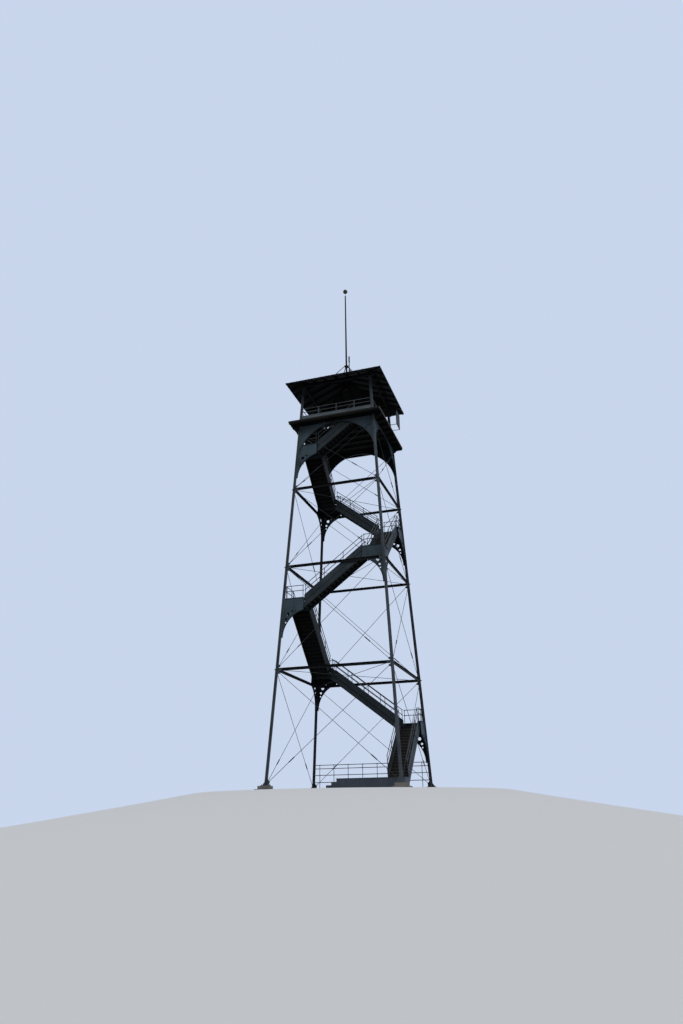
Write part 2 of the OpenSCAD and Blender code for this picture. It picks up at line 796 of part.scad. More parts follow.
module deck_rails() {
    for (f = [0:3]) deck_rail(f);
    well_rail();
}
module deck_rail(f) {
    z0 = deck_z;
    color(slate) on_face(f) {
        h = half(z0);
        for (i = [1:rail_bays - 1]) {
            u = -h + 2 * h * i / rail_bays;
            bar([u, 0, sl(z0) + lean_gap], [u, 0, sl(z0 + deck_rail_top)], post_d);
        }
        for (up = [deck_rail_mid, deck_rail_top]) {
            e = half(z0 + up) - arm - seat;
            bar([-e, 0, sl(z0 + up)], [e, 0, sl(z0 + up)], rail_d);
        }
    }
    color(grey) on_face(f) {
        n1 = -post_d / 2 - seat;
        plate(n1 - panel_t, n1)
            polygon([
                leg_pt(-1, arm + seat, z0 + toe_gap), leg_pt(1, arm + seat, z0 + toe_gap),
                leg_pt(1, arm + seat, z0 + toe_gap + toe_h), leg_pt(-1, arm + seat, z0 + toe_gap + toe_h)
            ]);
    }
}
module well_rail() {
    y = well_y1 + well_rail_in;
    x0 = well_x0 - well_rail_in;
    near = half(deck_z + deck_rail_top) - rail_d - well_rail_in;
    color(slate) {
        level_rail(x0 - rail_d / 2, well_x1, y, deck_z);
        rotate([0, 0, -90]) level_rail(-y + rail_d / 2 + seat, near, x0, deck_z);
    }
}

// A framed board on two arms that lie on the edge of the deck, outside the railing
module side_board() {
    x1 = deck_half + board_out;
    z0 = deck_z + seat;
    a = board_arm;
    color(slate) {
        for (side = [-1, 1]) {
            y = side * (board_w / 2 - a) - a / 2;
            box(deck_half - board_hold, x1 - seat, y, y + a, z0, z0 + a / 2);
        }
        for (y = [-board_w / 2, board_w / 2 - a]) box(x1, x1 + a, y, y + a, z0, z0 + board_h);
        for (z = [z0, z0 + board_h - a])
            box(x1, x1 + a, -board_w / 2 + a + seat, board_w / 2 - a - seat, z, z + a);
        box(x1 + a / 4, x1 + a * 3 / 4, -board_w / 2 + a + seat, board_w / 2 - a - seat, z0 + a + seat,
            z0 + board_h - a - seat);
    }
}

// Roof
module post_brackets() {
    z0 = leg_top - knee_drop;
    reach = eave_half - knee_in;
    z1 = roof_under(reach) - rafter_h - 2 * seat;
    color(grey) for (f = [0:3], side = [-1, 1]) on_face(f)
        plate(-plate_n, plate_n)
            polygon([
                leg_pt(side, -slot_edge, z0), [side * reach, sl(z1 - knee_w)],
                [side * reach, sl(z1)], leg_pt(side, -slot_edge, z0 + 2 * knee_w)
            ]);
}
// A sloping bar under the roof between two distances from the middle
module slope_bar(r0, r1, drop, depth, stretch) {
    translate([-rafter_w / 2, 0, 0]) rotate([90, 0, 90]) linear_extrude(rafter_w)
        polygon([
            [-r1 * stretch, roof_under(r1) - drop - depth], [-r0 * stretch, roof_under(r0) - drop - depth],
            [-r0 * stretch, roof_under(r0) - drop], [-r1 * stretch, roof_under(r1) - drop]
        ]);
}
module roof_frame() {
    h = half(leg_top);
    block_r = pole_r1 + block_w;
    color(dark) {
        for (side = [-1, 1]) {
            y = side * h - beam_w / 2;
            box(-beam_edge, beam_edge, y, y + beam_w, leg_top, leg_top + beam_h);
            x = side * h - beam_w / 2;
            end = h - beam_w / 2 - seat;
            box(x, x + beam_w, -end, end, leg_top, leg_top + beam_h);
        }
        for (f = [0:3]) turned(f) {
            for (i = [-rafter_n:rafter_n]) {
                u = i * h / rafter_n;
                start = max(abs(u) + rafter_w * 1.5, block_r + seat);
                translate([u, 0, 0]) slope_bar(start, eave_half - eave_lip, seat, rafter_h, 1);
            }
            rotate([0, 0, 45])
                slope_bar((block_r + seat) / sqrt(2), eave_half - eave_lip, hip_drop, hip_h, sqrt(2));
        }
        // Block under the foot of the staff
        translate([0, 0, pole_foot - block_h]) cylinder(r = block_r, h = block_h);
    }
}
module roof_skin() {
    color(dark) difference() {
        for (f = [0:3]) turned(f) intersection() {
            translate([-eave_half, -eave_half, eave_z]) rotate([atan(roof_slope), 0, 0])
                cube([2 * eave_half, 2 * eave_half, roof_t]);
            linear_extrude(pole_top)
                polygon([[0, -seat], [-eave_half, -eave_half], [eave_half, -eave_half]]);
        }
        translate([0, 0, pole_foot]) cylinder(r = pole_r1 + seat, h = pole_top - pole_foot);
    }
}

// Staff, which tapers from this height up
taper_z = apex_z + pole_straight;
module pole() {
    color(slate) {
        translate([0, 0, pole_foot]) cylinder(r = pole_r1, h = taper_z - pole_foot);
        translate([0, 0, taper_z]) cylinder(r1 = pole_r1, r2 = pole_r2, h = pole_top - taper_z);
    }
}
module pole_ball() {
    color("goldenrod") {
        translate([0, 0, pole_top + seat]) cylinder(r = pole_r2 * 0.6, h = ball_d / 2);
        translate([0, 0, pole_top + seat + ball_d / 2]) sphere(d = ball_d, $fn = 48);
    }
}
// Height of the top of the roof at distance r from the middle
function roof_over(r) = roof_under(r) + roof_t * sqrt(1 + roof_slope * roof_slope);
// A flat pad on the front sheet of the roof
module roof_pad(x, r, w) {
    translate([x, -r, roof_over(r)]) rotate([atan(roof_slope), 0, 0])
        translate([-w / 2, -w / 2, seat]) cube([w, w, pad_t]);
}
module pole_fittings() {
    // Radius of the staff at the middle of the collar
    r = pole_r2 + (pole_r1 - pole_r2) * (collar_z - pole_top) / (taper_z - pole_top);
    reach = r + collar_t;
    color(slate) {
        translate([0, 0, collar_z - collar_h / 2]) linear_extrude(collar_h) difference() {
            circle(r = reach);
            circle(r = r + 2 * seat);
        }
        fall = atan((stay_foot - reach) / (collar_z - roof_over(stay_foot)));
        for (i = [0:3]) turned(i) {
            top = [0, -reach - seat - stay_d / 2 * cos(fall), collar_z + stay_d / 2 * sin(fall)];
            bar(top, [0, -stay_foot, roof_over(stay_foot) + pad_t / 2], stay_d);
            roof_pad(0, stay_foot, stay_pad);
        }
        turned(right) {
            x = -short_rod_pad / 2 - stay_d / 2;
            z = roof_over(short_rod_out) + pad_t / 2;
            roof_pad(x, short_rod_out, short_rod_pad);
            translate([x, -short_rod_out, z]) cylinder(d = short_rod_d, h = short_rod_top - z);
        }
    }
}

piers();
leg(left);  // leg_left_front
leg(front);  // leg_right_front
leg(right);  // leg_right_back
leg(back);  // leg_left_back
struts();
rods(front);  // rods_front
rods(right);  // rods_right
rods(back);  // rods_back
rods(left);  // rods_left
level_rods();
joint_plates();
arches();
landing(1);  // landing_1
landing(2);  // landing_2
landing(3);  // landing_3
landing(4);  // landing_4
landing(5);  // landing_5
landing(6);  // landing_6
landing(7);  // landing_7
flight(1);  // flight_1
flight(2);  // flight_2
flight(3);  // flight_3
flight(4);  // flight_4
flight(5);  // flight_5
flight(6);  // flight_6
flight(7);  // flight_7
flight(8);  // flight_8
steps(1, 4);  // steps_lower
steps(5, 8);  // steps_upper
stair_rails(1, 4, 1, 4);  // stair_rails_lower
stair_rails(5, 8, 5, 7);  // stair_rails_upper
entry_platform();
base_rail();
deck_beams();
deck_floor();
deck_brackets();
deck_rails();
side_board();
post_brackets();
roof_frame();
roof_skin();
pole();
pole_ball();
pole_fittings();
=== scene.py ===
"""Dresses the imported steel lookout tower: paint, timber, concrete and gilt finishes, rivets, bolts,
rim angles, step edges, deck boards, rail fittings, roof seams and the studio around it."""

import json
import logging
import math
from dataclasses import dataclass, field
from enum import Enum, IntEnum
from functools import cached_property
from typing import Any, Callable, Iterable, Iterator, Sequence

import bmesh
import bpy
from mathutils import Matrix, Vector

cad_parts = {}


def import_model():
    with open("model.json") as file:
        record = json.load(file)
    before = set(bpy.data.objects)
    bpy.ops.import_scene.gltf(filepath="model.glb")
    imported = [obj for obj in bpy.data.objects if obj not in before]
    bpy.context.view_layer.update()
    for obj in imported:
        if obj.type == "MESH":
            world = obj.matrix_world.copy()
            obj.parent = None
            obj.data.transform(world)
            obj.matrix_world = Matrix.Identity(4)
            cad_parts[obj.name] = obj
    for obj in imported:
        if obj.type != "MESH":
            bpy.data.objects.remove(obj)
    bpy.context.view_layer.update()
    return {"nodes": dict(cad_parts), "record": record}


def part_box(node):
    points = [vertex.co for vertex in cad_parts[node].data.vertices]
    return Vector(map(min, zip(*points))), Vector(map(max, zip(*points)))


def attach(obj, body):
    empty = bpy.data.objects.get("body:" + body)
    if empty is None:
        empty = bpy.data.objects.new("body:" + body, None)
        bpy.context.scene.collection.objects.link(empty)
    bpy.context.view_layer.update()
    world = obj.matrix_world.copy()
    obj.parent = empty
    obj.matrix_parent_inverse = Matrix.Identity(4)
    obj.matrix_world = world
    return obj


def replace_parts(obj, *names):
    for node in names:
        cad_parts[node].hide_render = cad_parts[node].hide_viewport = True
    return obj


log = logging.getLogger("tower")

BODY = "root"
QUARTER = math.pi / 2
LEVEL = Matrix.Identity(4)
# Near-black colour of painted shade on undersides, inner faces, risers and the leg tops under the roof
PAINTED_SHADE = (0.002, 0.002, 0.002)
# Radius and height of a rivet head, how far heads are sunk, and shares of a head's radius
RIVET = (0.012, 0.008)
SUNK = 0.001
DOME = 0.55
NUT_HEIGHT = 0.95
BOLT_ENDS = (0.52, 0.46)
SMOOTH_ANGLE = math.radians(35)

Colour = tuple[float, float, float]
Pair = tuple[float, float]
Nut = Pair
Spot = Callable[[float], Sequence[float]]


class Face(IntEnum):
    """The four leaning sides of the tower, counted in quarter turns from the front."""

    FRONT = 0
    RIGHT = 1
    BACK = 2
    LEFT = 3


class Slot(Enum):
    """The record's material slots."""

    CONCRETE = "concrete"
    LEG = "leg_paint"
    BRACE = "brace_paint"
    ROD = "rod_paint"
    PLATE = "plate_paint"
    FLIGHT = "flight_paint"
    STEP = "step_wood"
    RAIL = "rail_paint"
    PLATFORM = "platform_paint"
    BEAM = "beam_paint"
    DECK = "deck_board"
    DECK_RAIL = "deck_rail_paint"
    ROOF = "roof_sheet"
    POLE = "pole_paint"
    GILT = "ball_gilt"


Materials = dict[Slot, bpy.types.Material]


# Node trees


class Sock:
    """An output socket on which arithmetic adds Math nodes."""

    def __init__(self, tree: "Tree", socket: bpy.types.NodeSocket) -> None:
        """Wrap one output socket of a tree."""
        self.tree = tree
        self.socket = socket

    def _math(self, operation: str, *others: "Sock | float", clamp: bool = False) -> "Sock":
        """Return the result of a Math node that takes this value first."""
        inputs = dict(enumerate((self, *others)))
        return self.tree.add("ShaderNodeMath", inputs, operation=operation, use_clamp=clamp)

    def __add__(self, other: "Sock | float") -> "Sock":
        """Return self + other."""
        return self._math("ADD", other)

    def __mul__(self, other: "Sock | float") -> "Sock":
        """Return self * other."""
        return self._math("MULTIPLY", other)

    def __sub__(self, other: "Sock | float") -> "Sock":
        """Return self - other."""
        return self._math("SUBTRACT", other)

    def __rsub__(self, other: float) -> "Sock":
        """Return other - self."""
        return self.tree.add("ShaderNodeMath", {0: other, 1: self}, operation="SUBTRACT")

    def either(self, other: "Sock") -> "Sock":
        """Return the larger of the two."""
        return self._math("MAXIMUM", other)

    def blend(self, other: "Sock", share: "Sock") -> "Sock":
        """Return this value where the share is 0 and the other where it is 1."""
        return self * (1 - share) + other * share

    def fract(self) -> "Sock":
        """Return the part after the decimal point."""
        return self._math("FRACT")

    def floor(self) -> "Sock":
        """Return the whole number below."""
        return self._math("FLOOR")

    def absolute(self) -> "Sock":
        """Return the size without the sign."""
        return self._math("ABSOLUTE")

    def clamp(self) -> "Sock":
        """Return the value kept between 0 and 1."""
        return self._math("ADD", 0.0, clamp=True)

    def ramp(self, low: float, high: float) -> "Sock":
        """Return a smooth step that rises from 0 at low to 1 at high."""
        inputs = {"Value": self, "From Min": low, "From Max": high}
        return self.tree.add("ShaderNodeMapRange", inputs, interpolation_type="SMOOTHSTEP")


Value = Sock | float | Sequence[float]


def opaque(colour: Value) -> Value:
    """Return a plain colour with its alpha, and a socket as it is."""
    return colour if isinstance(colour, Sock) else (*colour[:3], 1.0)


def scaled(colour: Colour, factor: float, lift: float = 0.0) -> Colour:
    """Return a colour whose channels are multiplied by a factor and lifted towards white."""
    red, green, blue = (min(1.0, channel * factor + lift) for channel in colour)
    return red, green, blue


class Tree:
    """Adds nodes to the node tree of a material or of the world."""

    def __init__(self, nodes: bpy.types.NodeTree) -> None:
        """Start with an empty tree."""
        self.tree = nodes
        self.tree.nodes.clear()

    def add(self, kind: str, inputs: dict[Any, Value] | None = None, out: str | int = 0,
            **settings: Any) -> Sock:
        """Add one node of any type.

        Args:
            kind: The node's type name.
            inputs: Values or sockets for its inputs, by name or number.
            out: Name or number of the output to return.
            settings: The node's own properties, set before its inputs.

        Returns:
            The chosen output.
        """
        node = self.tree.nodes.new(kind)
        for key, value in settings.items():
            setattr(node, key, value)
        for key, value in (inputs or {}).items():
            if isinstance(value, Sock):
                self.tree.links.new(value.socket, node.inputs[key])
            else:
                node.inputs[key].default_value = value
        return Sock(self, node.outputs[out])

    def close(self, kind: str, shaded: Sock) -> None:
        """Join a shader to an output node of a kind."""
        node = self.tree.nodes.new(kind)
        self.tree.links.new(shaded.socket, node.inputs["Surface"])

    def seen(self) -> Sock:
        """Return 1 for rays from the camera, a reflection or a pane, and 0 for light that bounces."""
        camera, glossy, pane = (self.add("ShaderNodeLightPath", out=f"Is {kind} Ray")
                                for kind in ("Camera", "Glossy", "Transmission"))
        return camera.either(glossy).either(pane)


class Shader(Tree):
    """Builds the nodes of one material."""

    def __init__(self, name: str) -> None:
        """Start an empty material of that name."""
        self.material = bpy.data.materials.new(name)
        self.material.use_nodes = True
        super().__init__(self.material.node_tree)

    def position(self, scale: Sequence[float] = (1.0, 1.0, 1.0), turn: float = 0.0) -> Sock:
        """Return Object coordinates, stretched along the axes and turned about Z."""
        place = self.add("ShaderNodeTexCoord", out="Object")
        return self.add("ShaderNodeMapping", {"Vector": place, "Scale": scale, "Rotation": (0.0, 0.0, turn)})

    def normal(self) -> Sock:
        """Return the surface's normal."""
        return self.add("ShaderNodeNewGeometry", out="Normal")

    def axis(self, vector: Sock, index: int) -> Sock:
        """Return one component of a vector."""
        return self.add("ShaderNodeSeparateXYZ", {"Vector": vector}, index)

    def vector(self, operation: str, *vectors: Sock, out: str | int = 0) -> Sock:
        """Return an output of a Vector Math node."""
        return self.add("ShaderNodeVectorMath", dict(enumerate(vectors)), out, operation=operation)

    def noise(self, vector: Sock, scale: float, detail: float = 4.0, rough: float = 0.55) -> Sock:
        """Return fractal noise from 0 to 1, with a number of octaves and the strength of the finer ones."""
        inputs = {"Vector": vector, "Scale": scale, "Detail": detail, "Roughness": rough}
        return self.add("ShaderNodeTexNoise", inputs)

    def each(self, number: Sock) -> Sock:
        """Return a random value for each whole number."""
        return self.add("ShaderNodeTexWhiteNoise", {"W": number.floor()}, noise_dimensions="1D")

    def mix(self, mask: Value, low: Value, high: Value) -> Sock:
        """Return one colour where the mask is 0 and another where it is 1."""
        return self.add("ShaderNodeMix", {0: mask, 6: opaque(low), 7: opaque(high)}, 2, data_type="RGBA")

    def shades(self, mask: Value, colour: Colour, low: float, high: float) -> Sock:
        """Return a colour scaled by two factors, mixed by a mask."""
        return self.mix(mask, scaled(colour, low), scaled(colour, high))

    def upward(self) -> Sock:
        """Return how much a surface faces the sky, from -1 to 1."""
        return self.axis(self.normal(), 2)

    def downward(self) -> Sock:
        """Return how much a surface faces the ground, from -1 to 1."""
        return self.upward() * -1

    def inward(self) -> Sock:
        """Return how much a surface faces the upright middle line of the tower, from -1 to 1."""
        ray = self.vector("NORMALIZE", self.position((1.0, 1.0, 0.0)))
        return self.vector("DOT_PRODUCT", self.normal(), ray, out="Value") * -1

    def uphill(self) -> Sock:
        """Return how much a surface faces a climber of the stair, times its distance from the middle."""
        return self.axis(self.vector("CROSS_PRODUCT", self.normal(), self.position()), 2)

    def shade_down_and_in(self, colour: Value, below: float, inner: float, rightward: float) -> Sock:
        """Paint shade on the surfaces that face down or into the tower, darkening them towards near black.

        Args:
            colour: The colour elsewhere.
            below: Share of the colour that is left below.
            inner: Share that is left on the inner side.
            rightward: Share that is left on the inner side of the left face.

        Returns:
            The colour.
        """
        under = self.downward().ramp(0.35, 0.9) * (1 - below)
        turned = self.axis(self.normal(), 0).ramp(0.4, 0.8)
        inside = self.inward().ramp(0.2, 0.5) * (turned * (inner - rightward) + (1 - inner))
        return self.mix(under.either(inside), colour, PAINTED_SHADE)

    def surface(self, colour: Value, rough: Sock | float, height: Sock | None = None, depth: float = 0.0,
                strength: float = 0.0, **fixed: Value) -> bpy.types.Material:
        """Close the material with a Principled surface.

        Args:
            colour: Base colour.
            rough: Roughness.
            height: Height of the bump from 0 to 1, or None for a flat surface.
            depth: Height of 1 in metres.
            strength: Share of the bump that shows.
            fixed: Other inputs by name, with underscores for spaces.

        Returns:
            The finished material.
        """
        inputs: dict[str, Value] = {"Base Color": opaque(colour)}
        inputs["Roughness"] = rough.clamp() if isinstance(rough, Sock) else rough
        if height is not None:
            bump = {"Strength": strength, "Distance": depth, "Height": height}
            inputs["Normal"] = self.add("ShaderNodeBump", bump)
        inputs.update({key.replace("_", " "): value for key, value in fixed.items()})
        self.close("ShaderNodeOutputMaterial", self.add("ShaderNodeBsdfPrincipled", inputs))
        return self.material


# Finishes


@dataclass(frozen=True)
class Finish:
    """The finish of one slot."""

    slot: Slot
    colour: Colour

    def build(self) -> bpy.types.Material:
        """Return the material."""
        raise NotImplementedError


@dataclass(frozen=True)
class Paint(Finish):
    """Weathered paint on steel: cloudy tone, dirt runs, a chalky top side, a few rust specks, and painted
    shade on faces that turn down or inwards and on the leg tops under the roof.
    """

    runs: float = 0.35
    rust: float = 0.5
    rough: float = 0.5
    # below, inner, rightward and eaves are the shares of the colour left where painted shade falls
    below: float = 0.5
    inner: float = 1.0
    rightward: float = 1.0
    chequer: float = 0.0
    specular: float = 0.08
    joint: Colour | None = None
    eaves: float = 1.0

    def build(self) -> bpy.types.Material:
        """Return the material."""
        shader = Shader(self.slot.value)
        place = shader.position()
        cloud = shader.noise(place, 0.9, 3.0)
        grain = shader.noise(place, 26.0, 5.0, 0.6)
        colour = shader.mix(cloud.ramp(0.3, 0.7), scaled(self.colour, 0.78), scaled(self.colour, 1.24, 0.004))
        colour = shader.mix(grain.ramp(0.35, 0.75) * 0.3, colour, self.colour)
        runs = shader.noise(shader.position((7.0, 7.0, 0.5)), 1.0, 5.0, 0.6).ramp(0.5, 0.72)
        colour = shader.mix(runs * self.runs, colour, scaled(self.colour, 0.42))
        chalk = shader.upward().ramp(0.55, 0.95) * 0.45
        colour = shader.mix(chalk, colour, scaled(self.colour, 0.6, 0.10))
        # Painted shade of the roof: from 23.9 m up to 25.5 m the colour darkens towards near black
        if self.eaves < 1.0:
            colour = shader.mix(shader.axis(place, 2).ramp(23.9, 25.5) * (1 - self.eaves), colour, PAINTED_SHADE)
        if self.joint:
            plate = shader.shades(cloud, self.joint, 0.8, 1.2)
            colour = shader.mix(self._at_leg(shader, place), colour, plate)
        specks = shader.noise(place, 11.0, 6.0, 0.7).ramp(0.63, 0.7)
        specks = specks * shader.noise(place, 1.7, 2.0).ramp(0.48, 0.66) * self.rust
        rusty = shader.mix(grain, (0.08, 0.030, 0.012), (0.20, 0.085, 0.032))
        colour = shader.mix(specks, colour, rusty)
        # Painted shade on the faces that turn down or into the tower
        colour = shader.shade_down_and_in(colour, self.below, self.inner, min(self.inner, self.rightward))
        rough = grain * 0.16 + (self.rough - 0.08) + specks * 0.25 + chalk * 0.2
        height = grain * 0.35 + specks * 0.5
        if self.chequer:
            height = height + self._lozenges(shader) * shader.upward().ramp(0.9, 0.97)
        return shader.surface(colour, rough, height, 0.0025, 0.5, Specular_IOR_Level=self.specular)

    def _at_leg(self, shader: Shader, place: Sock) -> Sock:
        """Return a mask of the plates that are painted like the legs.

        Args:
            shader: The material being built.
            place: Its Object coordinates.

        Returns:
            1 beside the legs below the deck and 0 elsewhere.
        """
        tower = Tower()
        lift = shader.axis(place, 2) * tower.taper
        near_x, near_y = ((shader.axis(place, k).absolute() + lift - tower.base_w / 2).ramp(-0.31, -0.28)
                          for k in (0, 1))
        return near_x * near_y * (1 - shader.axis(place, 2).ramp(19.5, 20.5))

    def _lozenges(self, shader: Shader) -> Sock:
        """Return the raised pattern of a chequer plate floor.

        Args:
            shader: The material being built.

        Returns:
            Height of the lozenges, from 0 to 1.
        """
        heights = []
        for turn in (math.pi / 4, -math.pi / 4):
            place = shader.position((1 / self.chequer, 0.36 / self.chequer, 1.0), turn)
            across, along = ((shader.axis(place, k).fract() - 0.5).absolute() for k in (0, 1))
            heights.append((0.5 - across * 2.6 - along).ramp(0.0, 0.16))
        return heights[0].either(heights[1]) * 0.8


@dataclass(frozen=True)
class DeckTimber(Finish):
    """Sun-bleached boards that run along Y, each a little different, with painted shade that darkens their
    sides and turns their ends and underside near black.
    """

    width: float
    # Painted shade tones for faces turned along X and along Y
    side: Colour = (0.10, 0.095, 0.085)
    end: Colour = (0.016, 0.016, 0.014)

    def build(self) -> bpy.types.Material:
        """Return the material."""
        shader = Shader(self.slot.value)
        place = shader.position()
        each = shader.each(shader.axis(place, 0) * (1 / self.width))
        grain = shader.noise(shader.position((36.0, 2.0, 36.0)), 1.0, 6.0, 0.65)
        colour = shader.shades(each * 0.5 + grain * 0.5, self.colour, 0.62, 1.3)
        stain = shader.noise(place, 1.3, 4.0).ramp(0.45, 0.7) * 0.45
        colour = shader.mix(stain, colour, scaled(self.colour, 0.7))
        # Painted shade: faces turned along X darken, faces turned along Y and the underside go near black
        for index, tone in enumerate((self.side, self.end)):
            colour = shader.mix(shader.axis(shader.normal(), index).absolute().ramp(0.5, 0.8), colour, tone)
        colour = shader.mix(shader.downward().ramp(0.3, 0.6), colour, PAINTED_SHADE)
        return shader.surface(colour, grain * 0.15 + 0.68, grain, 0.0015, 0.6, Specular_IOR_Level=0.1)


@dataclass(frozen=True)
class StepTimber(Finish):
    """Worn brown treads whose grain runs across each flight, with painted shade that makes the risers darker
    and the undersides near black.
    """

    riser: Colour
    rise: float = 0.19

    def build(self) -> bpy.types.Material:
        """Return the material."""
        shader = Shader(self.slot.value)
        place = shader.position()
        # On the right and left faces a step is long in Y, so 1 picks the grain that runs along X
        x, y = (shader.axis(place, k).absolute() for k in (0, 1))
        along_x = shader.noise(shader.position((2.0, 34.0, 34.0)), 1.0, 6.0, 0.65)
        along_y = shader.noise(shader.position((34.0, 2.0, 34.0)), 1.0, 6.0, 0.65)
        grain = along_x.blend(along_y, (y - x).ramp(-0.01, 0.01))
        tone = shader.each(shader.axis(place, 2) * (1 / self.rise)) * 0.45 + grain * 0.55
        # Painted shade: risers take a darker copy of the wood, and faces turned away from a climber go near
        # black
        riser = shader.mix(shader.uphill().ramp(0.2, 1.0), PAINTED_SHADE, shader.shades(tone, self.riser, 0.6, 1.4))
        worn = shader.shades(tone, self.colour, 0.65, 1.35)
        colour = shader.mix(shader.upward().ramp(0.4, 0.8), riser, worn)
        # Painted shade on the undersides
        colour = shader.mix(shader.downward().ramp(0.4, 0.8), colour, PAINTED_SHADE)
        return shader.surface(colour, grain * 0.15 + 0.62, grain, 0.0015, 0.7, Specular_IOR_Level=0.1)


@dataclass(frozen=True)
class Concrete(Finish):
    """Cast concrete with pores, damp stains near the ground and formwork lines."""

    def build(self) -> bpy.types.Material:
        """Return the material."""
        shader = Shader(self.slot.value)
        place = shader.position()
        cloud = shader.noise(place, 2.2, 6.0, 0.62)
        grain = shader.noise(place, 55.0, 4.0, 0.6)
        pores = shader.add("ShaderNodeTexVoronoi", {"Vector": place, "Scale": 38.0}, feature="F1")
        holes = 1 - pores.ramp(0.05, 0.22)
        form = (shader.axis(place, 2) * (1 / 0.17)).fract().ramp(0.95, 1.0)
        damp = (1 - shader.axis(place, 2).ramp(0.0, 0.16)) * shader.noise(place, 3.0, 3.0).ramp(0.3, 0.6)
        colour = shader.shades(cloud.ramp(0.28, 0.72), self.colour, 0.62, 1.22)
        colour = shader.mix(holes * 0.5, colour, scaled(self.colour, 0.62))
        colour = shader.mix(damp * 0.6, colour, (0.09, 0.10, 0.07))
        height = grain * 0.3 + cloud * 0.4 - holes * 0.5 - form * 0.3
        return shader.surface(colour, grain * 0.12 + 0.76, height, 0.004, 0.6)


@dataclass(frozen=True)
class Gilt(Finish):
    """Dull gold with tarnish."""

    def build(self) -> bpy.types.Material:
        """Return the material."""
        shader = Shader(self.slot.value)
        stain = shader.noise(shader.position(), 16.0, 5.0, 0.65)
        colour = shader.mix(stain.ramp(0.4, 0.68), self.colour, scaled(self.colour, 0.25))
        return shader.surface(colour, stain * 0.35 + 0.2, stain, 0.001, 0.4, Metallic=0.4)


@dataclass(frozen=True)
class SheetRoof(Finish):
    """Dark sheet metal above and boarded lining below."""

    lining: Colour
    board: float = 0.14

    def build(self) -> bpy.types.Material:
        """Return the material."""
        shader = Shader(self.slot.value)
        place = shader.position()
        x, y = (shader.axis(shader.normal(), k).absolute() for k in (0, 1))
        across = shader.axis(place, 1).blend(shader.axis(place, 0), (x - y).ramp(-0.01, 0.01))
        cell = across * (1 / self.board)
        edge = (cell.fract() - 0.5).absolute().ramp(0.44, 0.5)
        grain = shader.noise(place, 24.0, 5.0, 0.6)
        lining = shader.shades(shader.each(cell) * 0.6 + grain * 0.4, self.lining, 0.6, 1.5)
        lining = shader.mix(edge * 0.8, lining, scaled(self.lining, 0.2))
        sheet = shader.shades(shader.noise(place, 1.1, 4.0).ramp(0.3, 0.7), self.colour, 0.75, 1.35)
        streak = shader.noise(shader.position((5.0, 5.0, 1.0)), 1.0, 4.0).ramp(0.52, 0.75)
        sheet = shader.mix(streak * 0.4, sheet, scaled(self.colour, 1.0, 0.13))
        above = shader.upward().ramp(0.0, 0.1)
        height = grain * 0.3 + (1 - edge) * (1 - above)
        return shader.surface(shader.mix(above, lining, sheet), grain * 0.15 + 0.62 - above * 0.2, height,
                              0.003, 0.5, Specular_IOR_Level=0.1)


LEG_TONE = (0.083, 0.100, 0.120)

FINISHES = (
    Concrete(Slot.CONCRETE, (0.17, 0.165, 0.15)),
    Paint(Slot.LEG, LEG_TONE, runs=0.4, inner=0.28, eaves=0.35),
    Paint(Slot.BRACE, (0.006, 0.007, 0.007), runs=0.3, rust=0.15, inner=0.5, specular=0.05, joint=LEG_TONE),
    Paint(Slot.ROD, (0.030, 0.034, 0.038), runs=0.2, rust=0.2),
    Paint(Slot.PLATE, (0.037, 0.055, 0.069), runs=0.4, below=0.2, inner=0.12, chequer=0.03),
    Paint(Slot.FLIGHT, (0.028, 0.039, 0.046), runs=0.35, below=0.2, inner=0.75, rightward=0.1),
    # The second colour is a darker copy of the tread colour for the risers: painted shade
    StepTimber(Slot.STEP, (0.105, 0.088, 0.072), (0.021, 0.017, 0.014)),
    Paint(Slot.RAIL, (0.050, 0.060, 0.068), runs=0.15, rust=0.3),
    Paint(Slot.PLATFORM, (0.052, 0.063, 0.084), runs=0.4),
    # Near-black joist colour: partly dark paint, partly painted shade of the deck's underside
    Paint(Slot.BEAM, (0.004, 0.004, 0.004), runs=0.1, rust=0.0, rough=0.7, specular=0.05),
    DeckTimber(Slot.DECK, (0.22, 0.205, 0.18), 0.142),
    Paint(Slot.DECK_RAIL, (0.080, 0.100, 0.115), runs=0.25, rust=0.3, inner=0.6),
    # The lining colour is near black: partly its dark finish, partly painted shade under the roof
    SheetRoof(Slot.ROOF, (0.045, 0.050, 0.054), (0.0025, 0.003, 0.0025)),
    Paint(Slot.POLE, (0.012, 0.013, 0.015), runs=0.1, rust=0.1),
    Gilt(Slot.GILT, (0.035, 0.032, 0.016)),
)


# Frames and spacing


def moved(x: float = 0.0, y: float = 0.0, z: float = 0.0) -> Matrix:
    """Return a frame shifted by three lengths."""
    return Matrix.Translation((x, y, z))


def rotated(angle: float, axis: str) -> Matrix:
    """Return a frame turned about an axis."""
    return Matrix.Rotation(angle, 4, axis)


def facing(at: Matrix, point: Sequence[float], outwards: bool) -> Matrix:
    """Return a frame at a point of a face whose z points out of the tower, or else into it."""
    return at @ Matrix.Translation(point) @ rotated(QUARTER if outwards else -QUARTER, "X")


def aimed(start: Vector, end: Vector) -> Matrix:
    """Return a frame at one point whose z runs towards another."""
    return Matrix.Translation(start) @ (end - start).to_track_quat("Z", "Y").to_matrix().to_4x4()


def square(at: Matrix, reach: float) -> list[Matrix]:
    """Return four frames on the corners of a square round a frame."""
    return [at @ moved(x, y) for x in (-reach, reach) for y in (-reach, reach)]


def spaced(low: float, high: float, bays: int) -> list[float]:
    """Return the ends of a number of equal bays between two values."""
    return [low + (high - low) * index / bays for index in range(bays + 1)]


def stepped(low: float, step: float, count: int) -> list[float]:
    """Return a number of values, a step apart."""
    return [low + index * step for index in range(count)]


# Geometry of the tower


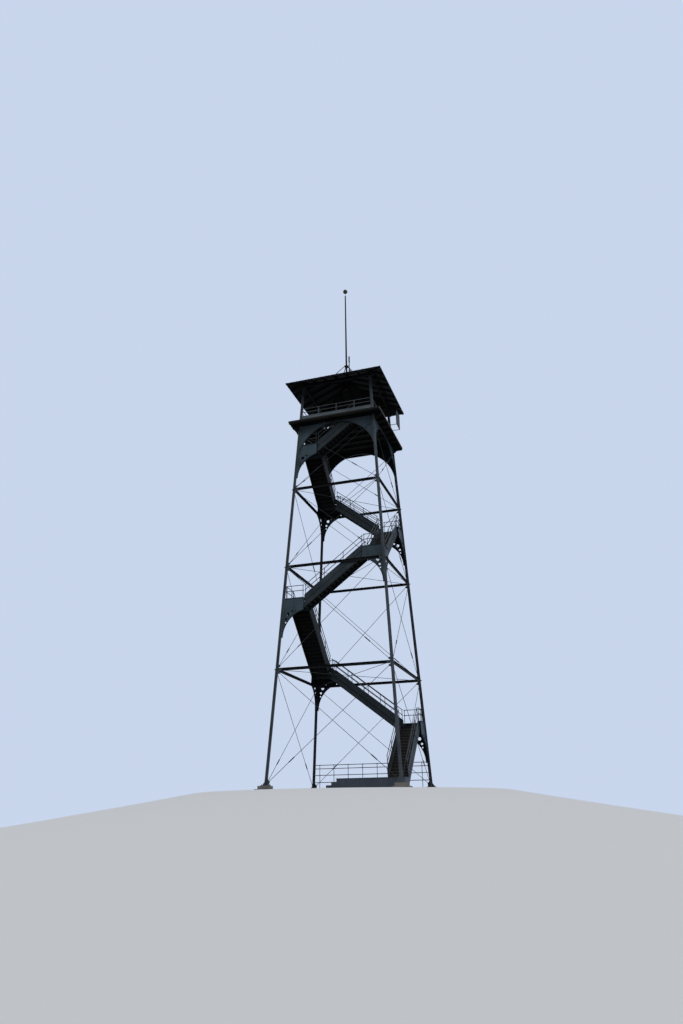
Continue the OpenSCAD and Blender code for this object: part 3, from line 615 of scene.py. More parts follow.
@dataclass(frozen=True)
class Tower:
    """Driving sizes of the tower in metres, and the frames of its leaning faces."""

    base_w: float = 7.62
    top_w: float = 4.68
    leg_top: float = 25.95
    strut_z: tuple[float, ...] = (6.66, 12.93, 18.20)
    pier_top: float = 0.34
    shoe_w: float = 0.44
    shoe_t: float = 0.03
    leg_arm: float = 0.09
    leg_t: float = 0.012
    leg_slot: float = 0.0126
    bolt_d: float = 0.056
    plate_t: float = 0.012
    guard_h: float = 0.30
    haunch_r: float = 1.65
    haunch_in: float = 0.16
    haunch_drop: float = 1.78
    stringer_drop: float = 0.30
    stringer_up: float = 0.04
    stringer_t: float = 0.010
    landing_x: float = 1.30
    landing_y: float = 1.12
    flight_in: float = 0.095
    flange_w: float = 0.06
    riser_max: float = 0.195
    entry_y: float = 1.56
    entry_z: float = 0.68
    arch_foot: float = 20.45
    deck_z: float = 23.04
    joist_bottom: float = 22.83
    rail_r: float = 0.021
    post_r: float = 0.018
    rail_top: float = 1.08
    rail_mid: float = 0.76
    pin_in: float = 0.17
    pin_up: float = 0.20
    pin_foot: float = 0.56
    flights: int = 8

    @property
    def taper(self) -> float:
        """Inward travel of a leg for each metre of height."""
        return (self.base_w - self.top_w) / 2 / self.leg_top

    @property
    def lean(self) -> float:
        """Angle of a face from upright."""
        return math.atan(self.taper)

    @property
    def post_in(self) -> float:
        """Depth of the outer posts and rails of a flight inside its face."""
        return self.flight_in + self.flange_w - self.rail_r - 0.004

    @property
    def angle_face(self) -> float:
        """Depth of the inner surfaces of the leg angles; the outer ones lie as far out."""
        return self.leg_slot / 2 + self.leg_t

    @property
    def plate_face(self) -> float:
        """Depth of the inner surfaces of the plates in the slots; the outer ones lie as far out."""
        return self.plate_t / 2

    @cached_property
    def levels(self) -> list[float]:
        """Heights of the foot of the stair, the landings and the deck."""
        tops = [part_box(f"landing_{k}")[1].z - self.guard_h for k in range(1, self.flights)]
        return [self.entry_z, *tops, self.deck_z]

    def half(self, z: float) -> float:
        """Return half the distance between leg centre lines at a height."""
        return self.base_w / 2 - self.taper * z

    def slope(self, z: float, n: float = 0.0) -> float:
        """Return the distance up a face's slope of height z at depth n."""
        return (z + n * math.sin(self.lean)) / math.cos(self.lean)

    def level(self, n: float) -> float:
        """Return a slanting depth n measured level."""
        return n / math.cos(self.lean)

    def turned(self, face: int) -> Matrix:
        """Return the level frame of a face, turned about the tower's middle."""
        return rotated(QUARTER * (face % 4), "Z")

    def face(self, face: int) -> Matrix:
        """Return the frame of a face: x along it, y inwards, z up the slope."""
        return self.turned(face) @ moved(y=-self.base_w / 2) @ rotated(-self.lean, "X")

    def sides(self, face: int) -> tuple["Side", "Side"]:
        """Return the two sides of a face, low x first."""
        return Side(self, face, -1), Side(self, face, 1)

    def spot(self, u: float, z: float) -> Spot:
        """Return what gives the point of a face at u and height z for a depth."""
        return lambda n: (u, n, self.slope(z, n))

    def landing_len(self, face: int) -> float:
        """Return the length of a landing along a face."""
        return self.landing_x if face % 2 == 0 else self.landing_y


@dataclass(frozen=True)
class Side:
    """One side of a face, beside a leg; the sign is -1 at low x and 1 at high x."""

    tower: Tower
    face: int
    sign: int

    @property
    def frame(self) -> Matrix:
        """Frame of the face."""
        return self.tower.face(self.face)

    def spot(self, d: float, z: float) -> Spot:
        """Return what gives the point d in from the leg's centre line at height z for a depth."""
        return self.tower.spot(self.sign * (self.tower.half(z) - d), z)

    def point(self, d: float, z: float) -> Vector:
        """Return that point at depth 0."""
        return Vector(self.spot(d, z)(0.0))

    def outline(self, corners: Iterable[Pair]) -> list[Pair]:
        """Return corners given by d and z as places along the face and up its slope."""
        return [(point.x, point.z) for point in (self.point(d, z) for d, z in corners)]

    def blocked(self, low: float, high: float) -> bool:
        """Find whether a landing plate or an arch fills the leg's slot somewhere between two heights.

        Args:
            low: Lower height.
            high: Upper height.

        Returns:
            True where one does.
        """
        tower = self.tower
        corner = (self.face if self.sign == 1 else self.face + 3) % 4
        levels = [z for k, z in enumerate(tower.levels) if 0 < k < tower.flights and k % 4 == corner]
        spans = [(z - tower.stringer_drop - tower.haunch_drop, z + tower.guard_h) for z in levels]
        return any(foot < high and low < top for foot, top in [*spans, (tower.arch_foot, tower.joist_bottom)])


@dataclass(frozen=True)
class Flight:
    """One flight of the stair, in the frame of its face."""

    tower: Tower
    number: int

    @property
    def face(self) -> int:
        """Face that the flight runs along."""
        return self.number % 4

    @property
    def frame(self) -> Matrix:
        """Frame of that face."""
        return self.tower.face(self.face)

    @property
    def low(self) -> float:
        """Height of its foot."""
        return self.tower.levels[self.number - 1]

    @property
    def high(self) -> float:
        """Height of its head."""
        return self.tower.levels[self.number]

    @property
    def start(self) -> float:
        """Where it starts along its face."""
        landing = self.tower.landing_len(self.face) - self.tower.half(self.low)
        return landing if self.number > 1 else -self.tower.entry_y

    @property
    def end(self) -> float:
        """Where it ends along its face."""
        return self.tower.half(self.high) - self.tower.landing_len(self.face)

    @property
    def pitch(self) -> float:
        """Rise over run."""
        return (self.high - self.low) / (self.end - self.start)

    @property
    def steps(self) -> int:
        """Number of risers."""
        return math.ceil(round((self.high - self.low) / self.tower.riser_max, 6))

    @property
    def going(self) -> float:
        """Length of a step."""
        return (self.end - self.start) / self.steps

    @property
    def width(self) -> float:
        """Depth of its inner side inside the face."""
        return self.tower.landing_len(self.face + 1) * math.cos(self.tower.lean)

    def point(self, u: float, up: float, n: float) -> Vector:
        """Return the point of the face's frame at u, at a height above the step edges and at depth n."""
        return Vector(self.tower.spot(u, self.low + (u - self.start) * self.pitch + up)(n))

    def along(self, u: float, up: float, n: float) -> Matrix:
        """Return a frame at such a point whose x runs up the stair and whose z stands off it."""
        angle = math.atan(self.pitch / math.cos(self.tower.lean))
        return Matrix.Translation(self.point(u, up, n)) @ rotated(-angle, "Y")


@dataclass(frozen=True)
class Rect:
    """A level rectangle."""

    x0: float
    x1: float
    y0: float
    y1: float


def stairwell(tower: Tower, gap: float = 0.012, foot: float = 0.12) -> Rect:
    """Return the opening in the deck over the last flight.

    Args:
        tower: The tower.
        gap: Play on each side of the flight.
        foot: How far the opening starts from the flight's foot.

    Returns:
        The opening.
    """
    flight = Flight(tower, tower.flights)
    wall = -tower.half(tower.deck_z)
    return Rect(flight.start + foot, flight.end, wall + tower.level(tower.flight_in) - gap,
                wall + tower.level(flight.width) + gap)


# Mesh building


class MeshPiece:
    def __init__(self, name: str, slot: Slot) -> None:
        """Start an empty piece that takes its finish from a slot."""
        self.name = name
        self.slot = slot
        self.bm = bmesh.new()

    def cone(self, at: Matrix, low: float, high: float, height: float, sides: int) -> None:
        """Add a capped cone with two radii that stands on a frame's xy plane."""
        bmesh.ops.create_cone(self.bm, cap_ends=True, segments=sides, radius1=low, radius2=high,
                              depth=height, matrix=at @ moved(z=height / 2))

    def disc(self, at: Matrix, radius: float, height: float, sides: int) -> None:
        """Add a cylinder that stands on a frame's xy plane."""
        self.cone(at, radius, radius, height, sides)

    def box(self, at: Matrix, low: Sequence[float], high: Sequence[float]) -> None:
        """Add a box between two corners of a frame."""
        size = Vector(high) - Vector(low)
        place = at @ Matrix.Translation((Vector(low) + Vector(high)) / 2) @ Matrix.Diagonal((*size, 1.0))
        bmesh.ops.create_cube(self.bm, size=1.0, matrix=place)

    def rivet(self, at: Matrix) -> None:
        """Add a domed rivet head on a surface, its foot sunk a little into it."""
        radius, height = RIVET
        self.cone(at @ moved(z=-SUNK), radius, radius * DOME, height + SUNK, 8)

    def bolt(self, at: Matrix, nut: Nut) -> None:
        """Add a hexagon nut and the end of its bolt.

        Args:
            at: Frame of the surface; local z points out of it.
            nut: Radius across the nut's corners, and length of the bolt above the surface.
        """
        radius, length = nut
        self.disc(at @ moved(z=-SUNK), radius, radius * NUT_HEIGHT, 6)
        self.cone(at, radius * BOLT_ENDS[0], radius * BOLT_ENDS[1], length, 8)

    def heads(self, at: Matrix, spot: Spot, depth: float, nut: Nut | None = None) -> None:
        """Put a rivet head or a nut on each surface of a plate.

        Args:
            at: Frame of the face.
            spot: Gives the point of the face's frame for a depth.
            depth: Depth of the inner surface; the outer one lies as far outside the face.
            nut: Sizes of the nut, or None for a rivet.
        """
        for n, outwards in ((-depth, True), (depth, False)):
            place = facing(at, spot(n), outwards)
            if nut:
                self.bolt(place, nut)
            else:
                self.rivet(place)

    def sleeve(self, at: Matrix, radius: float, length: float, sides: int = 10) -> None:
        """Add a short cylinder centred on a frame, its axis along local x."""
        self.disc(at @ moved(x=-length / 2) @ rotated(QUARTER, "Y"), radius, length, sides)

    def tube(self, start: Vector, end: Vector, radius: float, sides: int = 10) -> None:
        """Add a round bar between two points."""
        self.disc(aimed(start, end), radius, (end - start).length, sides)

    def strip(self, at: Matrix, outline: Sequence[Pair], n0: float, n1: float) -> None:
        """Add a flat plate or a bar from its outline.

        Args:
            at: Frame of a face or a turned frame.
            outline: Corners as place along local x and along local z, in order.
            n0: Outer depth.
            n1: Inner depth.
        """
        flat = self.bm.faces.new([self.bm.verts.new(at @ Vector((u, n0, s))) for u, s in outline])
        grown = bmesh.ops.extrude_face_region(self.bm, geom=[flat], use_keep_orig=True)["geom"]
        verts = [item for item in grown if isinstance(item, bmesh.types.BMVert)]
        bmesh.ops.translate(self.bm, verts=verts, vec=at.to_3x3() @ Vector((0.0, n1 - n0, 0.0)))

    def nosing(self, at: Matrix, corner: Pair, legs: Pair, t: float, across: Pair) -> None:
        """Add an angle over the front edge of a step.

        Args:
            at: Frame in which the stair climbs along local x.
            corner: The edge, as place along local x and height.
            legs: Height of its front leg and width of its level leg.
            t: Thickness.
            across: Depth of its two ends.
        """
        (u, z), (drop, width) = corner, legs
        back, top = u + width, z + t
        outline = ((u - t, z - drop), (u, z - drop), (u, z), (back, z), (back, top), (u - t, top))
        self.strip(at, outline, *across)

    def arc_flange(self, at: Matrix, centre: Pair, arc: Pair, radii: Pair, depths: Pair, parts: int) -> None:
        """Add a flange that follows a round edge, by spinning its section.

        Args:
            at: Frame of the face.
            centre: Middle of the circle, along the face and up the slope.
            arc: First and last angle in radians, from the face's x towards up.
            radii: Inner and outer radius.
            depths: Outer and inner depth.
            parts: Number of parts of the arc.
        """
        middle = moved(x=centre[0], z=centre[1])
        offset = moved(sum(radii) / 2, sum(depths) / 2)
        size = Matrix.Diagonal((radii[1] - radii[0], depths[1] - depths[0], 1.0, 1.0))
        place = at @ middle @ rotated(-arc[0], "Y") @ offset @ size
        section = bmesh.ops.create_grid(self.bm, x_segments=1, y_segments=1, size=0.5, matrix=place)["verts"]
        face = section[0].link_faces[0]
        bmesh.ops.spin(self.bm, geom=[*section, *face.edges, face], cent=at @ middle.translation,
                       axis=at.to_3x3() @ Vector((0.0, -1.0, 0.0)), angle=arc[1] - arc[0], steps=parts,
                       use_duplicate=False)

    def lathe(self, profile: Sequence[Pair], steps: int = 24) -> None:
        """Add a round form about the upright middle line from the radius and height of its corners."""
        spin_profile(self.bm, profile, steps, 0.0001)

    def finish(self, materials: Materials, smooth: bool = False) -> bpy.types.Object:
        """Close the piece, dress it and let it ride on the tower.

        Args:
            materials: The materials by slot.
            smooth: Whether its faces are shaded round.

        Returns:
            The object.
        """
        piece = add_object(self.name, self.bm, materials[self.slot])
        if smooth:
            piece.data.shade_smooth()
            piece.data.set_sharp_from_angle(angle=SMOOTH_ANGLE)
        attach(piece, BODY)
        log.info("%s: %d faces", self.name, len(piece.data.polygons))
        return piece


def spin_profile(bm: bmesh.types.BMesh, profile: Sequence[Pair], steps: int, joined: float) -> None:
    """Spin a profile about the upright middle line.

    Args:
        bm: The mesh that takes it.
        profile: Radius and height of each corner.
        steps: Number of sides.
        joined: Distance within which corners become one.
    """
    verts = [bm.verts.new((r, 0.0, z)) for r, z in profile]
    edges = [bm.edges.new(pair) for pair in zip(verts, verts[1:])]
    bmesh.ops.spin(bm, geom=[*verts, *edges], cent=(0.0, 0.0, 0.0), axis=(0.0, 0.0, 1.0),
                   angle=2 * math.pi, steps=steps, use_merge=True)
    bmesh.ops.remove_doubles(bm, verts=bm.verts, dist=joined)


def add_object(name: str, bm: bmesh.types.BMesh, material: bpy.types.Material) -> bpy.types.Object:
    """Turn a bmesh into an object of the scene.

    Args:
        name: Its name.
        bm: The bmesh, which is freed.
        material: Its material.

    Returns:
        The object.
    """
    bmesh.ops.recalc_face_normals(bm, faces=bm.faces)
    mesh = bpy.data.meshes.new(name)
    bm.to_mesh(mesh)
    bm.free()
    mesh.materials.append(material)
    made = bpy.data.objects.new(name, mesh)
    bpy.context.scene.collection.objects.link(made)
    return made


# Assemblies


@dataclass
class Assembly:
    """A part of the tower that adds its own small pieces."""

    tower: Tower
    materials: Materials

    def build(self) -> None:
        """Make the pieces."""
        raise NotImplementedError

    def by_face(self, kinds: dict[str, Slot]) -> Iterator[tuple[Face, list[MeshPiece]]]:
        """Start new pieces for each face and finish them after its turn.

        Args:
            kinds: Slot of each piece, by the first part of its name.

        Yields:
            The face and its pieces.
        """
        for face in Face:
            pieces = [MeshPiece(f"{kind}_{face.name.lower()}", slot) for kind, slot in kinds.items()]
            yield face, pieces
            for piece in pieces:
                piece.finish(self.materials)

    def slot_plate(self, piece: MeshPiece, side: Side, corners: Iterable[Pair]) -> None:
        """Make a plate in a leg's slot from corners given by distance from its centre line and height."""
        n = self.tower.plate_face
        piece.strip(side.frame, side.outline(corners), -n, n)

    def fitting(self, piece: MeshPiece, rail: Matrix, post: Matrix) -> None:
        """Put a sleeve on a rail, and a collar on the post under it.

        Args:
            piece: The piece that takes them.
            rail: Frame of the crossing, its x along the rail.
            post: Frame of the crossing, its z along the post.
        """
        wall, length, drop, height = 0.004, 0.09, 0.075, 0.06
        piece.sleeve(rail, self.tower.rail_r + wall, length)
        piece.disc(post @ moved(z=-drop), self.tower.post_r + wall, height, 10)


@dataclass
class CadDress(Assembly):
    """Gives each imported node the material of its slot."""

    nodes: dict[str, bpy.types.Object] = field(default_factory=dict)
    record: dict[str, Any] = field(default_factory=dict)

    def build(self) -> None:
        """Assign the materials."""
        slots = {part["node"]: Slot(part["material_slot"]) for part in self.record["subparts"]}
        for name, node in self.nodes.items():
            node.data.materials.clear()
            node.data.materials.append(self.materials[slots[name]])
        log.info("dressed %d packed nodes", len(self.nodes))


@dataclass
class Footings(Assembly):
    """Anchor bolts and outer stiffening ribs on the base plates of the legs."""

    bolt_in: float = 0.17
    washer: Pair = (0.045, 0.005)
    nut_up: float = 0.004
    nut: Nut = (0.030, 0.07)
    rib_top: float = 0.66
    rib_lip: float = 0.05
    rib_in: float = 0.02

    def build(self) -> None:
        """Make four bolts and two ribs on each base plate."""
        tower = self.tower
        top = tower.pier_top + tower.shoe_t
        middle = tower.half(tower.pier_top)
        piece = MeshPiece("footing_bolts", Slot.BRACE)
        for corner in Face:
            for place in square(tower.turned(corner) @ moved(middle, -middle, top), self.bolt_in):
                piece.disc(place, *self.washer, 16)
                piece.bolt(place @ moved(z=self.nut_up), self.nut)
        piece.finish(self.materials)
        ribs = MeshPiece("footing_ribs", Slot.BRACE)
        reach = tower.shoe_w / 2 - tower.shoe_t
        near = -self.rib_in
        corners = ((near, top), (-reach, top), (-reach, top + self.rib_lip), (near, self.rib_top))
        for face in Face:
            for side in tower.sides(face):
                self.slot_plate(ribs, side, corners)
        ribs.finish(self.materials)


@dataclass
class LegRivets(Assembly):
    """Rivet rows up the arms of the legs, which hold their packing plates."""

    step: float = 0.42
    foot: float = 0.95
    head: float = 0.25
    joint: float = 0.34

    def build(self) -> None:
        """Make the rivets of each face, clear of the bolts of joints, landings and arches."""
        tower = self.tower
        rows = int((tower.leg_top - self.head - self.foot) / self.step)
        heights = [z for z in stepped(self.foot, self.step, rows + 1)
                   if all(abs(z - level) >= self.joint for level in tower.strut_z)]
        for face, (piece,) in self.by_face({"leg_rivets": Slot.LEG}):
            for z in heights:
                for side in tower.sides(face):
                    for d in (-tower.bolt_d, tower.bolt_d):
                        if d < 0 or not side.blocked(z, z):
                            piece.heads(side.frame, side.spot(d, z), tower.angle_face)


@dataclass
class StrutJoints(Assembly):
    """Bolts through the gussets and the ears at the strut levels, and the riveted covers of the struts."""

    leg_nut: Nut = (0.017, 0.026)
    strut_nut: Nut = (0.016, 0.024)
    rows: tuple[float, ...] = (-0.24, -0.144, -0.048, 0.048, 0.144, 0.24)
    ear_reach: float = 0.10
    strut_at: tuple[float, ...] = (0.125, 0.18, 0.235)
    web_face: float = 0.0143
    strut_face: float = 0.0223
    cover_h: float = 0.085
    cover_in: float = 0.115
    stitch_in: float = 0.435
    stitch: float = 0.55

    def build(self) -> None:
        """Make the bolts, the rivets and the covers of each face."""
        tower = self.tower
        kinds = {"joint_bolts": Slot.BRACE, "strut_rivets": Slot.BRACE, "strut_covers": Slot.BRACE}
        for face, (bolts, rivets, covers) in self.by_face(kinds):
            at = tower.face(face)
            for side in tower.sides(face):
                self._leg_bolts(bolts, side, tower.pin_foot, self.rows[2:])
            for z in tower.strut_z:
                for side in tower.sides(face):
                    self._leg_bolts(bolts, side, z, self.rows)
                    for d in self.strut_at:
                        bolts.heads(at, side.spot(d, z), self.strut_face, self.strut_nut)
                reach, s = tower.half(z) - self.cover_in, tower.slope(z)
                for n0, n1 in ((-self.strut_face, -self.web_face), (self.web_face, self.strut_face)):
                    covers.box(at, (-reach, n0, s - self.cover_h), (reach, n1, s + self.cover_h))
                reach = tower.half(z) - self.stitch_in
                for u in spaced(-reach, reach, int(2 * reach / self.stitch)):
                    rivets.heads(at, tower.spot(u, z), self.strut_face)

    def _leg_bolts(self, piece: MeshPiece, side: Side, z: float, rows: Sequence[float]) -> None:
        """Bolt a gusset and an ear or a rib to one leg.

        Args:
            piece: The piece that takes the bolts.
            side: Where the leg stands.
            z: Height of the strut, or of the lowest pins.
            rows: Heights of the bolts above it.
        """
        tower = self.tower
        for dz in rows:
            ear = (-tower.bolt_d,) if abs(dz) <= self.ear_reach else ()
            gusset = () if side.blocked(z + dz, z + dz) else (tower.bolt_d,)
            for d in (*ear, *gusset):
                piece.heads(side.frame, side.spot(d, z + dz), tower.angle_face, self.leg_nut)


@dataclass
class JointPlates(Assembly):
    """Slim gussets with a horn for each pin, and the ears that hold the level rods."""

    slot_edge: float = 0.0186
    clear: float = 0.3
    horn: tuple[Pair, ...] = ((0.0186, 0.08), (0.10, 0.10), (0.185, 0.155), (0.215, 0.18), (0.218, 0.215),
                              (0.195, 0.243), (0.16, 0.25), (0.09, 0.29), (0.0186, 0.295))
    foot: tuple[Pair, ...] = ((0.218, 0.535), (0.218, 0.575), (0.195, 0.603), (0.16, 0.61), (0.09, 0.70),
                              (0.0186, 0.71))
    foot_gap: float = 0.002
    bar: float = 0.262
    bar_h: float = 0.075
    ear: float = 0.15
    ear_h: float = 0.12

    def build(self) -> None:
        """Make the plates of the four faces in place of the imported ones."""
        tower = self.tower
        piece = MeshPiece("joint_gussets", Slot.BRACE)
        edge, far = self.slot_edge, self.bar
        bar = ((edge, -self.bar_h), (far, -self.bar_h), (far, self.bar_h), (edge, self.bar_h))
        ear = ((-edge, self.ear_h / 2), (-self.ear, self.ear_h / 4), (-self.ear, -self.ear_h / 4),
               (-edge, -self.ear_h / 2))
        gusset = (self.horn, [(d, -up) for d, up in self.horn], bar)
        low = tower.pier_top + tower.shoe_t + self.foot_gap
        for side in (side for face in Face for side in tower.sides(face)):
            for z in tower.strut_z:
                blocked = side.blocked(z - self.clear, z + self.clear)
                for plate in (ear,) if blocked else (*gusset, ear):
                    self.slot_plate(piece, side, [(d, z + up) for d, up in plate])
            self.slot_plate(piece, side, [(edge, low), (tower.shoe_w / 2 - tower.shoe_t, low), *self.foot])
        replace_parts(piece.finish(self.materials), "joint_plates")


@dataclass
class RodEnds(Assembly):
    """Pins through the eyes of the tie rods and lock nuts on their turnbuckles."""

    pin_top: float = 22.18
    pin_top_in: float = 0.26
    rod_n: float = 0.0203
    rod_d: float = 0.028
    lock_at: Pair = (1.47, 1.88)
    lock: Pair = (0.027, 0.03)
    head: Pair = (0.034, 0.006)
    nut: Nut = (0.026, 0.032)

    def build(self) -> None:
        """Make the pins and nuts of each face in one piece."""
        for face, (piece,) in self.by_face({"rod_pins": Slot.ROD}):
            at = self.tower.face(face)
            for start, end in self._rods(face):
                for eye in (start, end):
                    self._pin(piece, at, eye)
                for reach in self.lock_at:
                    piece.disc(at @ aimed(start, end) @ moved(z=reach), *self.lock, 6)

    def _rods(self, face: Face) -> Iterator[tuple[Vector, Vector]]:
        """Find the rods of a face.

        Args:
            face: The face.

        Yields:
            The two ends of each rod, in the face's frame.
        """
        tower = self.tower
        feet = (tower.pin_foot, *(z + tower.pin_up for z in tower.strut_z))
        heads = (*(z - tower.pin_up for z in tower.strut_z), self.pin_top)
        reaches = (tower.pin_in,) * len(tower.strut_z) + (self.pin_top_in,)
        for low, high, reach in zip(feet, heads, reaches):
            for start, end in (tower.sides(face), tower.sides(face)[::-1]):
                shift = Vector((0.0, start.sign * self.rod_n, 0.0))
                yield start.point(tower.pin_in, low) + shift, end.point(reach, high) + shift

    def _pin(self, piece: MeshPiece, at: Matrix, eye: Vector) -> None:
        """Make the pin through one eye, with its head and two nuts.

        Args:
            piece: The piece that takes it.
            at: Frame of the face.
            eye: Middle of the eye in the face's frame.
        """
        sign = math.copysign(1, eye.y)
        head = facing(at, (eye.x, eye.y + sign * self.rod_d / 2, eye.z), sign < 0)
        piece.disc(head, *self.head, 12)
        piece.bolt(head, self.nut)
        piece.bolt(facing(at, (eye.x, -sign * self.tower.plate_face, eye.z), sign > 0), self.nut)


@dataclass
class ArchRims(Assembly):
    """Edge flanges and rivets of the arched plates under the deck."""

    radius: float = 2.60
    centre_z: float = 20.15
    flange: float = 0.055
    inner_flange: float = 0.038
    rim_t: Pair = (0.0015, 0.008)
    rim_parts: int = 40
    rim_foot: float = 20.72
    rivet_foot: float = 0.33
    rivet_in: float = 0.045
    rivets: int = 34
    top_rivets: int = 26
    top_in: float = 0.2
    top_drop: float = 0.03
    bolt_step: float = 0.155
    nut: Nut = (0.015, 0.022)

    def build(self) -> None:
        """Make the rims, the rivets and the bolts of the four arches."""
        tower = self.tower
        n = tower.plate_face
        up = tower.slope(self.centre_z)
        start = math.asin((self.rim_foot - self.centre_z) / self.radius)
        radii = (self.radius + self.rim_t[0], self.radius + self.rim_t[1])
        reach = self.radius + self.rivet_in
        end = tower.half(tower.joist_bottom) - self.top_in
        top = tower.slope(tower.joist_bottom - self.top_drop)
        places = [(reach * math.cos(angle), up + reach * math.sin(angle))
                  for angle in spaced(self.rivet_foot, math.pi - self.rivet_foot, self.rivets)]
        rows = int((tower.joist_bottom - tower.arch_foot) / self.bolt_step)
        for face, (rim, heads) in self.by_face({"arch_rim": Slot.PLATE, "arch_rivets": Slot.PLATE}):
            at = tower.face(face)
            for depths in ((-self.flange, -n), (n, self.inner_flange)):
                rim.arc_flange(at, (0.0, up), (start, math.pi - start), radii, depths, self.rim_parts)
            for u, s in places:
                heads.heads(at, lambda depth: (u, depth, s), n)
            for z in stepped(tower.arch_foot + self.bolt_step / 2, self.bolt_step, rows):
                for side in tower.sides(face):
                    heads.heads(at, side.spot(tower.bolt_d, z), tower.angle_face, self.nut)
            for u in spaced(-end, end, self.top_rivets):
                heads.heads(at, lambda depth: (u, depth, top), n)


@dataclass
class LandingTrim(Assembly):
    """Bolts beside the legs, a rim along the curved haunches and an angle along the top of the plates."""

    bolt_step: float = 0.155
    bolt_up: float = 0.06
    nut: Nut = (0.015, 0.022)
    rivet_step: float = 0.14
    rivet_in: float = 0.18
    rivet_end: float = 0.24
    rivet_drop: float = 0.06
    rim: float = 0.045
    rim_t: Pair = (0.0015, 0.008)
    rim_parts: int = 20
    angle: float = 0.045
    angle_t: float = 0.006
    arch_clear: float = 0.36

    def build(self) -> None:
        """Make the trim of the seven landings."""
        for k in range(1, self.tower.flights):
            piece = MeshPiece(f"landing_trim_{k}", Slot.PLATE)
            for side in (Side(self.tower, k % 4, 1), Side(self.tower, (k + 1) % 4, -1)):
                self._bolts(piece, side, self.tower.levels[k])
                self._haunch_rim(piece, side, self.tower.levels[k])
                self._top_angle(piece, side, self.tower.levels[k])
            piece.finish(self.materials)

    def _bolts(self, piece: MeshPiece, side: Side, z: float) -> None:
        """Bolt one plate to its leg, and rivet the edge of the floor to it.

        Args:
            piece: The piece that takes them.
            side: Where the leg stands.
            z: Height of the landing.
        """
        tower = self.tower
        low = z - tower.stringer_drop - tower.haunch_drop + self.bolt_up
        high = min(z + tower.guard_h, tower.arch_foot)
        for height in stepped(low, self.bolt_step, int((high - low) / self.bolt_step)):
            piece.heads(side.frame, side.spot(tower.bolt_d, height), tower.angle_face, self.nut)
        rivets = int((tower.landing_len(side.face) - self.rivet_end) / self.rivet_step)
        for d in stepped(self.rivet_in, self.rivet_step, rivets):
            piece.heads(side.frame, side.spot(d, z - self.rivet_drop), tower.plate_face)

    def _haunch_rim(self, piece: MeshPiece, side: Side, z: float) -> None:
        """Put a flange along the curved lower edge of one plate.

        Args:
            piece: The piece that takes it.
            side: Where the leg stands.
            z: Height of the landing.
        """
        tower = self.tower
        radius, n = tower.haunch_r, tower.plate_face
        middle = side.point(tower.haunch_in + radius, z - tower.stringer_drop - tower.haunch_drop)
        end = side.point(tower.landing_len(side.face), z)
        sweep = math.acos(side.sign * (end.x - middle.x) / radius)
        arc = (0.0, sweep) if side.sign == 1 else (math.pi, math.pi - sweep)
        radii = (radius + self.rim_t[0], radius + self.rim_t[1])
        for depths in ((-self.rim, -n), (n, self.rim)):
            piece.arc_flange(side.frame, (middle.x, middle.z), arc, radii, depths, self.rim_parts)

    def _top_angle(self, piece: MeshPiece, side: Side, z: float) -> None:
        """Put an angle along the upper edge of one plate, on its outer side.

        Args:
            piece: The piece that takes it.
            side: Where the leg stands.
            z: Height of the landing.
        """
        tower = self.tower
        top = z + tower.guard_h
        near = side.point(tower.leg_arm if top < tower.arch_foot else self.arch_clear, top)
        low, high = sorted((near.x, side.point(tower.landing_len(side.face), z).x))
        n, s, leg, t = -tower.plate_face, near.z, self.angle, self.angle_t
        piece.box(side.frame, (low, n - leg, s - t), (high, n, s))
        piece.box(side.frame, (low, n - t, s - leg), (high, n, s - t))


